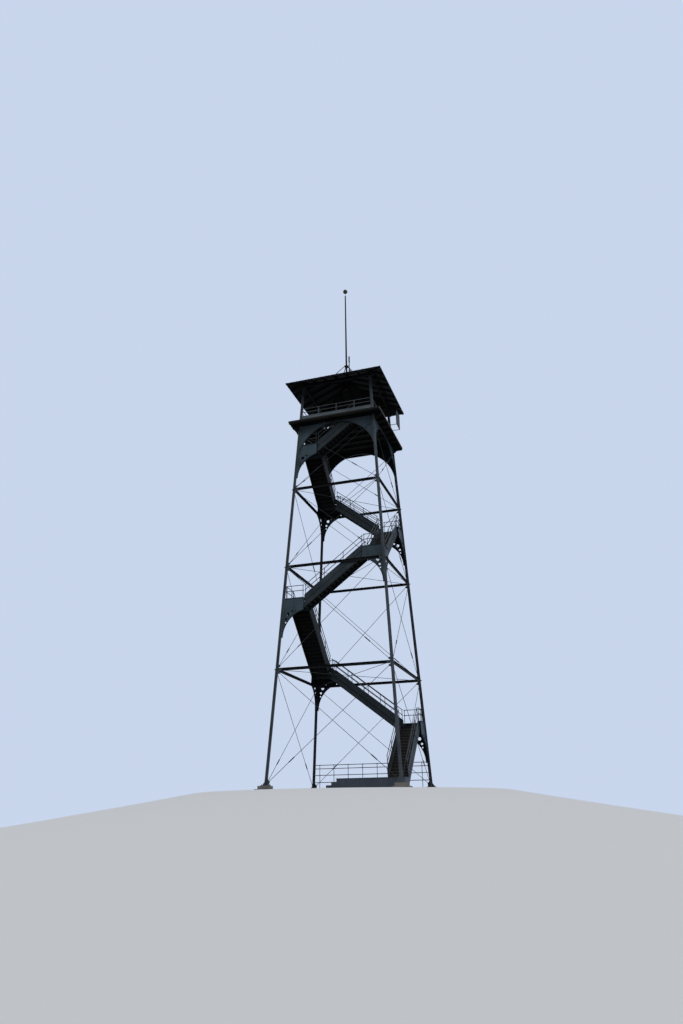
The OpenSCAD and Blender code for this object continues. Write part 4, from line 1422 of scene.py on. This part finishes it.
@dataclass
class StairTrim(Assembly):
    """Bolts on the stringers, an angle on the front edge of each step and a foot strip on the side panels."""

    bolt_drop: float = 0.12
    bolt_gap: float = 0.06
    nut: Nut = (0.013, 0.018)
    nose: Pair = (0.028, 0.032)
    nose_t: float = 0.004
    nose_gap: float = 0.01
    foot_n: Pair = (0.099, 0.1036)
    foot_up: Pair = (0.035, 0.09)
    foot_end: float = 0.05
    return_t: float = 0.008
    return_gaps: Pair = (0.004, 0.007)

    def build(self) -> None:
        """Make the trim of the eight flights."""
        feet = MeshPiece("panel_feet", Slot.BRACE)
        returns = MeshPiece("landing_returns", Slot.PLATE)
        for k in range(1, self.tower.flights + 1):
            flight = Flight(self.tower, k)
            self._bolts(flight)
            self._noses(flight)
            self._foot(feet, flight)
            self._return(returns, flight)
        feet.finish(self.materials)
        returns.finish(self.materials)

    def _foot(self, piece: MeshPiece, flight: Flight) -> None:
        """Close the gap between each stringer and the side panel above it.

        Args:
            piece: The piece that takes the strips.
            flight: The flight.
        """
        low, high = self.foot_up
        start, end = flight.start + self.foot_end, flight.end - self.foot_end
        across = self.tower.flight_in + flight.width
        for n0, n1 in (self.foot_n, [across - n for n in reversed(self.foot_n)]):
            ends = ((start, low), (end, low), (end, high), (start, high))
            corners = [flight.point(u, up, n0) for u, up in ends]
            piece.strip(flight.frame, [(corner.x, corner.z) for corner in corners], n0, n1)

    def _return(self, piece: MeshPiece, flight: Flight) -> None:
        """Join the guard of each landing to the side panel of a flight with a short plate.

        Args:
            piece: The piece that takes the plates.
            flight: The flight.
        """
        tower = self.tower
        low, high = self.return_gaps
        foot = [(flight.start - self.return_t, flight.low)] if flight.number > 1 else []
        head = [(flight.end, flight.high)] if flight.number < tower.flights else []
        for u, z in foot + head:
            piece.box(flight.frame, (u, tower.plate_face, tower.slope(z) + low),
                      (u + self.return_t, self.foot_n[1], tower.slope(z + tower.guard_h) - high))

    def _bolts(self, flight: Flight) -> None:
        """Bolt each step of a flight to the stringers.

        Args:
            flight: The flight.
        """
        piece = MeshPiece(f"stair_bolts_{flight.number}", Slot.FLIGHT)
        for u in stepped(flight.start + flight.going / 2, flight.going, flight.steps):
            for n, outwards in ((self.tower.flight_in, True), (flight.width, False)):
                for du in (-self.bolt_gap, self.bolt_gap):
                    point = flight.point(u + du, -self.bolt_drop - du * flight.pitch, n)
                    piece.bolt(facing(flight.frame, point, outwards), self.nut)
        piece.finish(self.materials)

    def _noses(self, flight: Flight) -> None:
        """Put an angle on the front edge of each step of a flight above the first.

        Args:
            flight: The flight.
        """
        tower = self.tower
        piece = MeshPiece(f"step_edges_{flight.number}", Slot.RAIL)
        rise = (flight.high - flight.low) / flight.steps
        near, far = tower.flight_in + tower.stringer_t, flight.width - tower.stringer_t
        for index in range(1, flight.steps):
            z = flight.low + index * rise
            across = (tower.level(near) - tower.half(z) + self.nose_gap,
                      tower.level(far) - tower.half(z - rise) - self.nose_gap)
            corner = (flight.start + index * flight.going, z)
            piece.nosing(tower.turned(flight.face), corner, self.nose, self.nose_t, across)
        piece.finish(self.materials)


@dataclass
class RailFittings(Assembly):
    """Sleeves where the rails meet their posts, and the feet of the posts."""

    post_gap: float = 1.30
    outer_end: float = 0.06
    inner_end: float = 0.14
    landing_end: float = 0.04
    well_in: float = 0.06
    well_top: float = 1.15
    flight_foot: tuple[float, float, float] = (0.035, 0.022, 0.006)
    level_foot: Pair = (0.045, 0.006)

    def build(self) -> None:
        """Make the fittings of each flight with the landing above it, and of the stairwell."""
        tower = self.tower
        for k in range(1, tower.flights + 1):
            piece = MeshPiece(f"rail_fittings_{k}", Slot.RAIL)
            self._flight(piece, Flight(tower, k))
            if k < tower.flights:
                self._landing(piece, k, tower.levels[k])
            else:
                self._well(piece, stairwell(tower))
            piece.finish(self.materials)

    def _flight(self, piece: MeshPiece, flight: Flight) -> None:
        """Dress the two railings of a flight.

        Args:
            piece: The piece that takes the fittings.
            flight: The flight.
        """
        tower = self.tower
        x, y, z = self.flight_foot
        inner = tower.flight_in + flight.width - tower.post_in
        for n, end in ((tower.post_in, self.outer_end), (inner, self.inner_end)):
            first, last = flight.start + end, flight.end - end
            for u in spaced(first, last, math.ceil((last - first) / self.post_gap)):
                piece.box(flight.frame @ flight.along(u, tower.stringer_up, n), (-x, -y, 0.0), (x, y, z))
                for up in (tower.rail_mid, tower.rail_top):
                    post = flight.frame @ Matrix.Translation(flight.point(u, up, n))
                    self.fitting(piece, flight.frame @ flight.along(u, up, n), post)

    def _landing(self, piece: MeshPiece, k: int, z: float) -> None:
        """Dress the two level railings of a landing.

        Args:
            piece: The piece that takes the fittings.
            k: Number of the landing.
            z: Its height.
        """
        tower = self.tower
        half = tower.half(z)
        line = half - tower.level(tower.post_in)
        first = (half - tower.landing_len(k) + self.landing_end, line + tower.rail_r)
        second = (tower.rail_r - line, tower.landing_len(k + 1) - half - self.landing_end)
        for turn, ends in ((k, first), (k + 1, second)):
            self._level_run(piece, tower.turned(turn) @ moved(y=-line, z=z), ends)

    def _well(self, piece: MeshPiece, well: Rect) -> None:
        """Dress the railing round the stairwell.

        Args:
            piece: The piece that takes the fittings.
            well: The stairwell.
        """
        tower = self.tower
        x, y = well.x0 - self.well_in, well.y1 + self.well_in
        near = tower.half(tower.deck_z + self.well_top) - 2 * tower.rail_r - self.well_in
        self._level_run(piece, moved(y=y, z=tower.deck_z), (x - tower.rail_r, well.x1))
        self._level_run(piece, tower.turned(3) @ moved(y=x, z=tower.deck_z), (tower.rail_r - y, near))

    def _level_run(self, piece: MeshPiece, at: Matrix, ends: Pair) -> None:
        """Dress a level run of rails with a post near each end.

        Args:
            piece: The piece that takes the fittings.
            at: Frame of its foot, in which the run lies along x.
            ends: Where it starts and ends.
        """
        tower = self.tower
        for u in (ends[0] + 2 * tower.rail_r, ends[1] - 2 * tower.rail_r):
            piece.disc(at @ moved(u), *self.level_foot, 12)
            for up in (tower.rail_mid, tower.rail_top):
                place = at @ moved(u, z=up)
                self.fitting(piece, place, place)


@dataclass
class BaseRailing(Assembly):
    """Clamps and feet of the railing at the back of the base."""

    depth: float = 0.175
    top: float = 1.78
    shares: tuple[float, ...] = (0.42, 0.66, 0.88, 1.0)
    posts: int = 8
    end_in: float = 0.51
    foot: Pair = (0.06, 0.01)
    clamp: tuple[float, float, float] = (0.024, 0.022, 0.026)

    def build(self) -> None:
        """Make a clamp at each crossing and a foot under each post."""
        tower = self.tower
        piece = MeshPiece("base_rail_clamps", Slot.RAIL)
        y = tower.base_w / 2 - self.depth
        post = -tower.rail_r - tower.post_r
        end = tower.base_w / 2 - self.end_in
        half, back, high = self.clamp
        for x in spaced(-end, end, self.posts - 1):
            piece.disc(moved(x, y + post), *self.foot, 12)
            for share in self.shares:
                piece.box(moved(x, y, self.top * share), (-half, post - back, -high), (half, high, high))
        piece.finish(self.materials)


@dataclass
class EntryTrim(Assembly):
    """Metal edges on the steps of the entry platform."""

    width: float = 3.80
    depth: float = 1.15
    steps: int = 4
    going: float = 0.3003
    nose: float = 0.02
    edge: Pair = (0.03, 0.03)
    edge_t: float = 0.003

    def build(self) -> None:
        """Make an angle along the front edge of each step."""
        tower = self.tower
        piece = MeshPiece("entry_edges", Slot.RAIL)
        x = tower.half(tower.entry_z) - tower.level(tower.flight_in) + self.nose - self.width
        y = -tower.entry_y
        for index in range(self.steps):
            nose = 0.0 if index else self.nose
            corner = (x - index * self.going - nose, tower.entry_z * (1 - index / self.steps))
            piece.nosing(LEVEL, corner, self.edge, self.edge_t, (y - self.depth - nose, y))
        piece.finish(self.materials)


@dataclass
class DeckBoards(Assembly):
    """Deck floor of separate boards along Y, cut round the stairwell and the legs, with its edge boards."""

    half: float = 3.124
    count: int = 44
    gap: float = 0.006
    thick: float = 0.06
    edge_h: float = 0.11
    edge_t: float = 0.028
    edge_gap: float = 0.0003
    leg_hole: float = 0.23
    kerb_h: float = 0.10
    kerb_t: float = 0.03
    kerb_gap: float = 0.30

    def holes(self) -> list[Rect]:
        """Return the stairwell and the four holes for the legs."""
        line, w = self.tower.half(self.tower.deck_z - self.thick / 2), self.leg_hole / 2
        legs = [Rect(x - w, x + w, y - w, y + w) for x in (-line, line) for y in (-line, line)]
        return [stairwell(self.tower), *legs]

    def runs(self, x: float) -> list[Pair]:
        """Find the stretches of Y that a board covers.

        Args:
            x: Place along X.

        Returns:
            Start and end of each stretch.
        """
        found = [(-self.half, self.half)]
        for hole in self.holes():
            if hole.x0 < x < hole.x1:
                parts = [((low, min(high, hole.y0)), (max(low, hole.y1), high)) for low, high in found]
                found = [run for pair in parts for run in pair if run[0] < run[1]]
        return found

    def build(self) -> None:
        """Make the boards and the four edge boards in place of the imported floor, and the kerb."""
        tower = self.tower
        top, half = tower.deck_z, self.half
        piece = MeshPiece("deck_boards", Slot.DECK)
        sides = [x for hole in self.holes() for x in (hole.x0, hole.x1)]
        joints = spaced(-half, half, self.count)
        for left, right in zip(joints, joints[1:]):
            x0 = left + (self.gap / 2 if left > -half else 0.0)
            x1 = right - (self.gap / 2 if right < half else 0.0)
            cuts = sorted({x0, x1, *(x for x in sides if x0 < x < x1)})
            for low, high in zip(cuts, cuts[1:]):
                for y0, y1 in self.runs((low + high) / 2):
                    piece.box(LEVEL, (low, y0, top - self.thick), (high, y1, top))
        for face in Face:
            piece.box(tower.turned(face), (-half, -half, top - self.edge_h),
                      (half - self.edge_t, -half + self.edge_t, top - self.thick - self.edge_gap))
        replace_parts(piece.finish(self.materials), "deck_floor")
        kerb = MeshPiece("stairwell_kerb", Slot.PLATFORM)
        well = stairwell(tower)
        kerb.box(LEVEL, (well.x0 + self.kerb_gap, well.y1, top),
                 (well.x1, well.y1 + self.kerb_t, top + self.kerb_h))
        kerb.finish(self.materials)


@dataclass
class DeckRailTrim(Assembly):
    """Sleeves, post feet, leg flanges and panel caps of the railing round the deck."""

    rails: Pair = (0.87, 1.15)
    bays: int = 4
    foot: Pair = (0.05, 0.008)
    flange: float = 0.04
    flange_t: float = 0.008
    panel_top: float = 0.58
    panel_n: float = -0.0263
    panel_in: float = 0.01
    cap: float = 0.05
    cap_t: float = 0.008
    cap_w: float = 0.012

    def build(self) -> None:
        """Make the fittings of the four sides."""
        tower = self.tower
        piece = MeshPiece("deck_rail_fittings", Slot.DECK_RAIL)
        half = tower.half(tower.deck_z)
        for face in Face:
            at = tower.face(face)
            for u in spaced(-half, half, self.bays)[1:-1]:
                piece.disc(tower.turned(face) @ moved(u, -half, tower.deck_z), *self.foot, 12)
                for up in self.rails:
                    place = at @ moved(u, z=tower.slope(tower.deck_z + up))
                    self.fitting(piece, place, place)
            for up in self.rails:
                for side in tower.sides(face):
                    end = side.point(tower.leg_arm, tower.deck_z + up)
                    low, high = sorted((0.0, -side.sign * self.flange_t))
                    piece.box(at @ Matrix.Translation(end), (low, -self.flange, -self.flange),
                              (high, self.flange, self.flange))
            z = tower.deck_z + self.panel_top
            reach = tower.half(z) - tower.leg_arm - self.panel_in
            n, s, t = self.panel_n, tower.slope(z), self.cap_t
            piece.box(at, (-reach, n - t, s - self.cap), (reach, n, s))
            piece.box(at, (-reach, n - t, s), (reach, n + self.cap_w, s + t))
        piece.finish(self.materials)


@dataclass
class SideBoard(Assembly):
    """Narrow boards on both sides of the panel beside the deck, inside its frame."""

    out: float = 3.564
    half: float = 0.409
    low: float = 0.042
    high: float = 1.038
    faces: tuple[Pair, Pair] = ((0.001, 0.010), (0.030, 0.039))
    count: int = 6
    gap: float = 0.004

    def build(self) -> None:
        """Make the boards."""
        piece = MeshPiece("side_board_planks", Slot.FLIGHT)
        at = moved(self.out, z=self.tower.deck_z)
        joints = spaced(-self.half, self.half, self.count)
        for x0, x1 in self.faces:
            for y0, y1 in zip(joints, joints[1:]):
                piece.box(at, (x0, y0 + self.gap / 2, self.low), (x1, y1 - self.gap / 2, self.high))
        piece.finish(self.materials)


@dataclass
class RoofTrim(Assembly):
    """Standing seams, hip caps, drip edges and the flashing at the foot of the staff."""

    eave_half: float = 3.30
    eave_z: float = 25.86
    apex_z: float = 27.26
    sheet_t: float = 0.034
    seam_step: float = 0.42
    seam_h: float = 0.028
    seam_t: float = 0.014
    seam_end: float = 0.004
    corner_gap: float = 0.15
    hip_gap: float = 0.06
    staff_gap: float = 0.16
    drip_t: float = 0.004
    drip: Pair = (0.02, 0.002)
    cap_r: float = 0.03
    cap_top: Pair = (0.12, 0.085)
    cap_end: float = 3.29
    cap_sunk: float = 0.004
    flashing: tuple[float, float, float] = (0.20, 0.072, 0.15)
    sunk: float = 0.002

    @property
    def rise(self) -> float:
        """Rise of the roof over its run."""
        return (self.apex_z - self.eave_z) / self.eave_half

    @property
    def angle(self) -> float:
        """Slope of the roof in radians."""
        return math.atan(self.rise)

    def over(self, r: float) -> float:
        """Return the height of the top of the roof at a distance from the middle."""
        return self.eave_z + (self.eave_half - r) * self.rise + self.sheet_t / math.cos(self.angle)

    def build(self) -> None:
        """Make the seams, the caps, the drip edges and the flashing."""
        far = self.eave_half
        seams = MeshPiece("roof_seams", Slot.ROOF)
        count = int((far - self.corner_gap) / self.seam_step)
        for face in Face:
            turn = self.tower.turned(face)
            for x in stepped(-count * self.seam_step, self.seam_step, 2 * count + 1):
                near = max(abs(x) + self.hip_gap, self.staff_gap)
                self._seam(seams, turn, x, near, far - self.seam_end)
            seams.box(turn, (-far, -far - self.drip_t, self.eave_z - self.drip[0]),
                      (far, -far, self.over(far) + self.drip[1]))
        seams.finish(self.materials)
        caps = MeshPiece("roof_hip_caps", Slot.ROOF)
        for corner in Face:
            turn = self.tower.turned(corner) @ rotated(math.pi / 4, "Z")
            ends = (self.cap_top, (self.cap_end * math.sqrt(2), self.cap_end))
            start, end = (turn @ Vector((x, 0.0, self.over(r) - self.cap_sunk)) for x, r in ends)
            caps.tube(start, end, self.cap_r)
        caps.finish(self.materials)
        flashing = MeshPiece("staff_flashing", Slot.ROOF)
        flashing.cone(moved(z=self.over(self.flashing[0]) - self.sunk), *self.flashing, 32)
        flashing.finish(self.materials, smooth=True)

    def _seam(self, piece: MeshPiece, turn: Matrix, x: float, near: float, far: float) -> None:
        """Add one seam on the front sheet of a turned frame.

        Args:
            piece: The piece that takes it.
            turn: Frame of the sheet.
            x: Place along the eave.
            near: Distance of its upper end from the middle.
            far: Distance of its lower end.
        """
        foot = moved(x, -far, self.over(far) - self.sunk) @ rotated(self.angle, "X")
        half, length = self.seam_t / 2, (far - near) / math.cos(self.angle)
        piece.box(turn @ foot, (-half, 0.0, 0.0), (half, length, self.seam_h))


@dataclass
class Staff(Assembly):
    """Tapering staff with its spindle and ball, its collar with four braces, and a rod with a thick head."""

    foot: float = 26.70
    straight_top: float = 27.56
    top: float = 34.69
    foot_r: float = 0.066
    top_r: float = 0.043
    cap: Pair = (0.055, 0.04)
    spindle_r: float = 0.012
    spindle_foot: float = 34.71
    spindle_in: float = 0.01
    ball_z: float = 35.13
    ball_r: float = 0.163
    ball_parts: int = 24
    ball_seam: tuple[Pair, ...] = ((0.0, -0.006), (0.004, -0.004), (0.004, 0.004), (0.0, 0.006))
    collar_z: float = 28.56
    collar_r: float = 0.100
    collar_h: float = 0.13
    collar_nut: Nut = (0.014, 0.022)
    collar_nuts: Pair = (-0.03, 0.03)
    stay_r: float = 0.023
    stay_foot: float = 1.60
    stay_pad: float = 0.13
    pad_t: float = 0.034
    pad_in: float = 0.028
    pad_nut: Nut = (0.011, 0.016)
    pad_nut_in: float = 0.022
    lug_x: float = 0.026
    lug_t: float = 0.006
    lug_h: float = 0.05
    lug_out: float = 0.06
    pin: Pair = (0.012, 0.094)
    rod_at: Pair = (0.235, -0.079)
    rod_r: float = 0.028
    head_r: float = 0.047
    head_z: float = 28.80
    head_top: float = 29.30
    tip: Pair = (0.0188, 0.03)
    base_top: float = 28.20
    rod_pad: float = 0.11
    clamp: Pair = (0.016, 0.02)
    clamp_in: float = 0.004
    clamp_out: float = 0.04

    def build(self) -> None:
        """Make the staff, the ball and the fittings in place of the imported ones."""
        tower = self.tower
        staff = MeshPiece("staff", Slot.POLE)
        lip_r, lip_z, tip = self.cap[0], self.top - self.cap[1], self.ball_z - self.ball_r + self.spindle_in
        staff.lathe(((0.0, self.foot), (self.foot_r, self.foot), (self.foot_r, self.straight_top),
                     (self.top_r, lip_z), (lip_r, lip_z), (lip_r, self.top),
                     (self.spindle_r, self.spindle_foot), (self.spindle_r, tip), (0.0, tip)))
        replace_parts(staff.finish(self.materials, smooth=True), "pole")
        self._ball()
        fittings = MeshPiece("staff_fittings", Slot.POLE)
        bolts = MeshPiece("staff_bolts", Slot.POLE)
        roof = RoofTrim(tower, self.materials)
        fittings.disc(moved(z=self.collar_z - self.collar_h / 2), self.collar_r, self.collar_h, 24)
        hip_angle = math.atan(roof.rise / math.sqrt(2))
        hip = Vector((0.0, -self.stay_foot, roof.over(self.stay_foot / math.sqrt(2))))
        lug = Vector((0.0, -self.collar_r - self.lug_out / 2, self.collar_z))
        for corner in Face:
            turn = tower.turned(corner) @ rotated(math.pi / 4, "Z")
            pad = turn @ Matrix.Translation(hip) @ rotated(hip_angle, "X")
            fittings.tube(turn @ lug, turn @ (hip + Vector((0.0, 0.0, self.pad_t / 2))), self.stay_r, 12)
            self._collar_bolts(bolts, turn)
            self._foot(fittings, bolts, pad, self.stay_pad)
        self._rod(fittings, bolts, roof)
        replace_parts(fittings.finish(self.materials), "pole_fittings")
        bolts.finish(self.materials)

    def _ball(self) -> None:
        """Make the ball of two pressed halves with a raised seam."""
        ball = MeshPiece("ball", Slot.GILT)
        r, z = self.ball_r, self.ball_z
        arc = [(r * math.sin(a), z - r * math.cos(a)) for a in spaced(0.0, math.pi, self.ball_parts)[1:-1]]
        seam = [(r + out, z + up) for out, up in self.ball_seam]
        middle = len(arc) // 2
        ball.lathe([(0.0, z - r), *arc[:middle], *seam, *arc[middle + 1:], (0.0, z + r)], 32)
        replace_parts(ball.finish(self.materials, smooth=True), "pole_ball")

    def _collar_bolts(self, piece: MeshPiece, turn: Matrix) -> None:
        """Make the lugs and the pin of one brace, and two bolts of the collar beside them.

        Args:
            piece: The piece that takes them.
            turn: Frame of the brace.
        """
        at = turn @ moved(y=-self.collar_r, z=self.collar_z)
        between = turn @ rotated(math.pi / 4, "Z") @ moved(y=SUNK - self.collar_r, z=self.collar_z)
        for dz in self.collar_nuts:
            piece.bolt(between @ moved(z=dz) @ rotated(QUARTER, "X"), self.collar_nut)
        for x in (-self.lug_x - self.lug_t, self.lug_x):
            piece.box(at, (x, -self.lug_out, -self.lug_h), (x + self.lug_t, self.lug_t, self.lug_h))
        piece.sleeve(at @ moved(y=-self.lug_out / 2), *self.pin, 8)

    def _rod(self, fittings: MeshPiece, bolts: MeshPiece, roof: RoofTrim) -> None:
        """Make the rod beside the staff, its thick head and the clamp that ties it to the collar.

        Args:
            fittings: The piece that takes its body.
            bolts: The piece that takes its bolts.
            roof: The roof.
        """
        x, y = self.rod_at
        foot = roof.over(x)
        spans = ((self.rod_r, foot, self.head_z, 12), (self.head_r, foot, self.base_top, 16),
                 (self.head_r, self.head_z, self.head_top, 16))
        for radius, low, high, sides in spans:
            fittings.disc(moved(x, y, low), radius, high - low, sides)
        fittings.cone(moved(x, y, self.head_top), self.head_r, *self.tip, 16)
        half, high = self.clamp
        fittings.box(rotated(math.atan2(y, x), "Z") @ moved(z=self.collar_z),
                     (self.collar_r - self.clamp_in, -half, -high),
                     (math.hypot(x, y) + self.clamp_out, half, high))
        at = self.tower.turned(Face.RIGHT) @ moved(y, -x, foot) @ rotated(roof.angle, "X")
        self._foot(fittings, bolts, at, self.rod_pad)

    def _foot(self, fittings: MeshPiece, bolts: MeshPiece, at: Matrix, side: float) -> None:
        """Make a bolted foot on the roof.

        Args:
            fittings: The piece that takes the foot.
            bolts: The piece that takes the bolts.
            at: Frame of its middle on the roof.
            side: Length of its sides.
        """
        fittings.box(at, (-side / 2, -side / 2, -self.pad_in), (side / 2, side / 2, self.pad_t))
        for place in square(at @ moved(z=self.pad_t), side / 2 - self.pad_nut_in):
            bolts.bolt(place, self.pad_nut)


# Studio


@dataclass
class Studio:
    """Floor, lights, background and the camera of the photograph."""

    camera_at: tuple[float, float, float] = (13.449, -43.528, -1.174)
    yaw: float = -0.3101
    pitch: float = 0.3860
    roll: float = -0.0119
    lens: float = 26.23
    sensor: float = 36.0
    clip_end: float = 500.0
    sky: Colour = (0.58, 0.67, 0.84)
    level: Colour = (0.93, 0.96, 1.0)
    world: float = 0.46
    key: float = 0.9
    fill: float = 0.4
    floor: Colour = (0.74, 0.75, 0.76)
    floor_below: Colour = (0.26, 0.26, 0.25)
    mound_r: float = 9.0
    mound_far: float = 70.0
    mound_drop: float = 7.0
    mound_bend: float = 0.35
    rings: int = 24
    sides: int = 96
    key_from: tuple[float, float, float] = (0.8, -0.55, 0.75)
    fill_from: tuple[float, float, float] = (-0.7, -0.5, 0.6)

    def build(self) -> None:
        """Make the whole studio."""
        self._camera()
        self._world()
        self._lamp("key", self.key_from, self.key, 0.6)
        self._lamp("fill", self.fill_from, self.fill, 0.9)
        self._floor()

    def _camera(self) -> None:
        """Place the camera by its yaw, pitch and roll."""
        data = bpy.data.cameras.new("photo_camera")
        data.sensor_fit = "VERTICAL"
        data.sensor_height = self.sensor
        data.lens = self.lens
        data.clip_end = self.clip_end
        camera = bpy.data.objects.new("photo_camera", data)
        bpy.context.scene.collection.objects.link(camera)
        ahead = rotated(-self.yaw, "Z") @ rotated(QUARTER + self.pitch, "X")
        camera.matrix_world = Matrix.Translation(self.camera_at) @ ahead @ rotated(self.roll, "Z")
        bpy.context.scene.camera = camera

    def _world(self) -> None:
        """Give the rays that are seen a pale sky, and the rest a plain level."""
        world = bpy.data.worlds.new("studio")
        bpy.context.scene.world = world
        world.use_nodes = True
        tree = Tree(world.node_tree)
        level = tree.add("ShaderNodeBackground", {"Color": opaque(self.level), "Strength": self.world})
        back = tree.add("ShaderNodeBackground", {"Color": opaque(self.sky)})
        shaded = tree.add("ShaderNodeMixShader", {0: tree.seen(), 1: level, 2: back})
        tree.close("ShaderNodeOutputWorld", shaded)

    def _lamp(self, name: str, source: Sequence[float], energy: float, softness: float) -> None:
        """Add one soft lamp far away.

        Args:
            name: Its name.
            source: Where its light comes from.
            energy: Its strength.
            softness: Its angle across in radians.
        """
        data = bpy.data.lights.new(name, "SUN")
        data.energy = energy
        data.angle = softness
        lamp = bpy.data.objects.new(name, data)
        bpy.context.scene.collection.objects.link(lamp)
        lamp.rotation_euler = Vector(source).to_track_quat("Z", "Y").to_euler()

    def _floor(self) -> None:
        """Make a plain floor that is level round the tower and falls away beyond."""
        profile = [(0.0, 0.0)]
        for share in spaced(0.0, 1.0, self.rings):
            drop = self.mound_drop * share * (1 - self.mound_bend * share) / (1 - self.mound_bend)
            profile.append((self.mound_r + (self.mound_far - self.mound_r) * share, -drop))
        bm = bmesh.new()
        spin_profile(bm, profile, self.sides, 0.001)
        shader = Shader("studio_floor")
        seen = shader.mix(shader.seen(), self.floor_below, self.floor)
        floor = add_object("studio_floor", bm, shader.surface(seen, 0.9))
        floor.data.shade_smooth()


ASSEMBLIES = (
    Footings, LegRivets, StrutJoints, JointPlates, RodEnds, ArchRims, LandingTrim, StairTrim, RailFittings,
    BaseRailing, EntryTrim, DeckBoards, DeckRailTrim, SideBoard, RoofTrim, Staff,
)


def main() -> None:
    """Load the frame, dress it and set up the studio."""
    logging.basicConfig(level=logging.INFO, format="%(name)s: %(message)s")
    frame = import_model()
    bpy.context.scene.view_settings.view_transform = "Standard"
    Studio().build()
    materials = {finish.slot: finish.build() for finish in FINISHES}
    tower = Tower()
    CadDress(tower, materials, frame["nodes"], frame["record"]).build()
    for assembly in ASSEMBLIES:
        log.info("building %s", assembly.__name__)
        assembly(tower, materials).build()


if __name__ == "__main__":
    main()
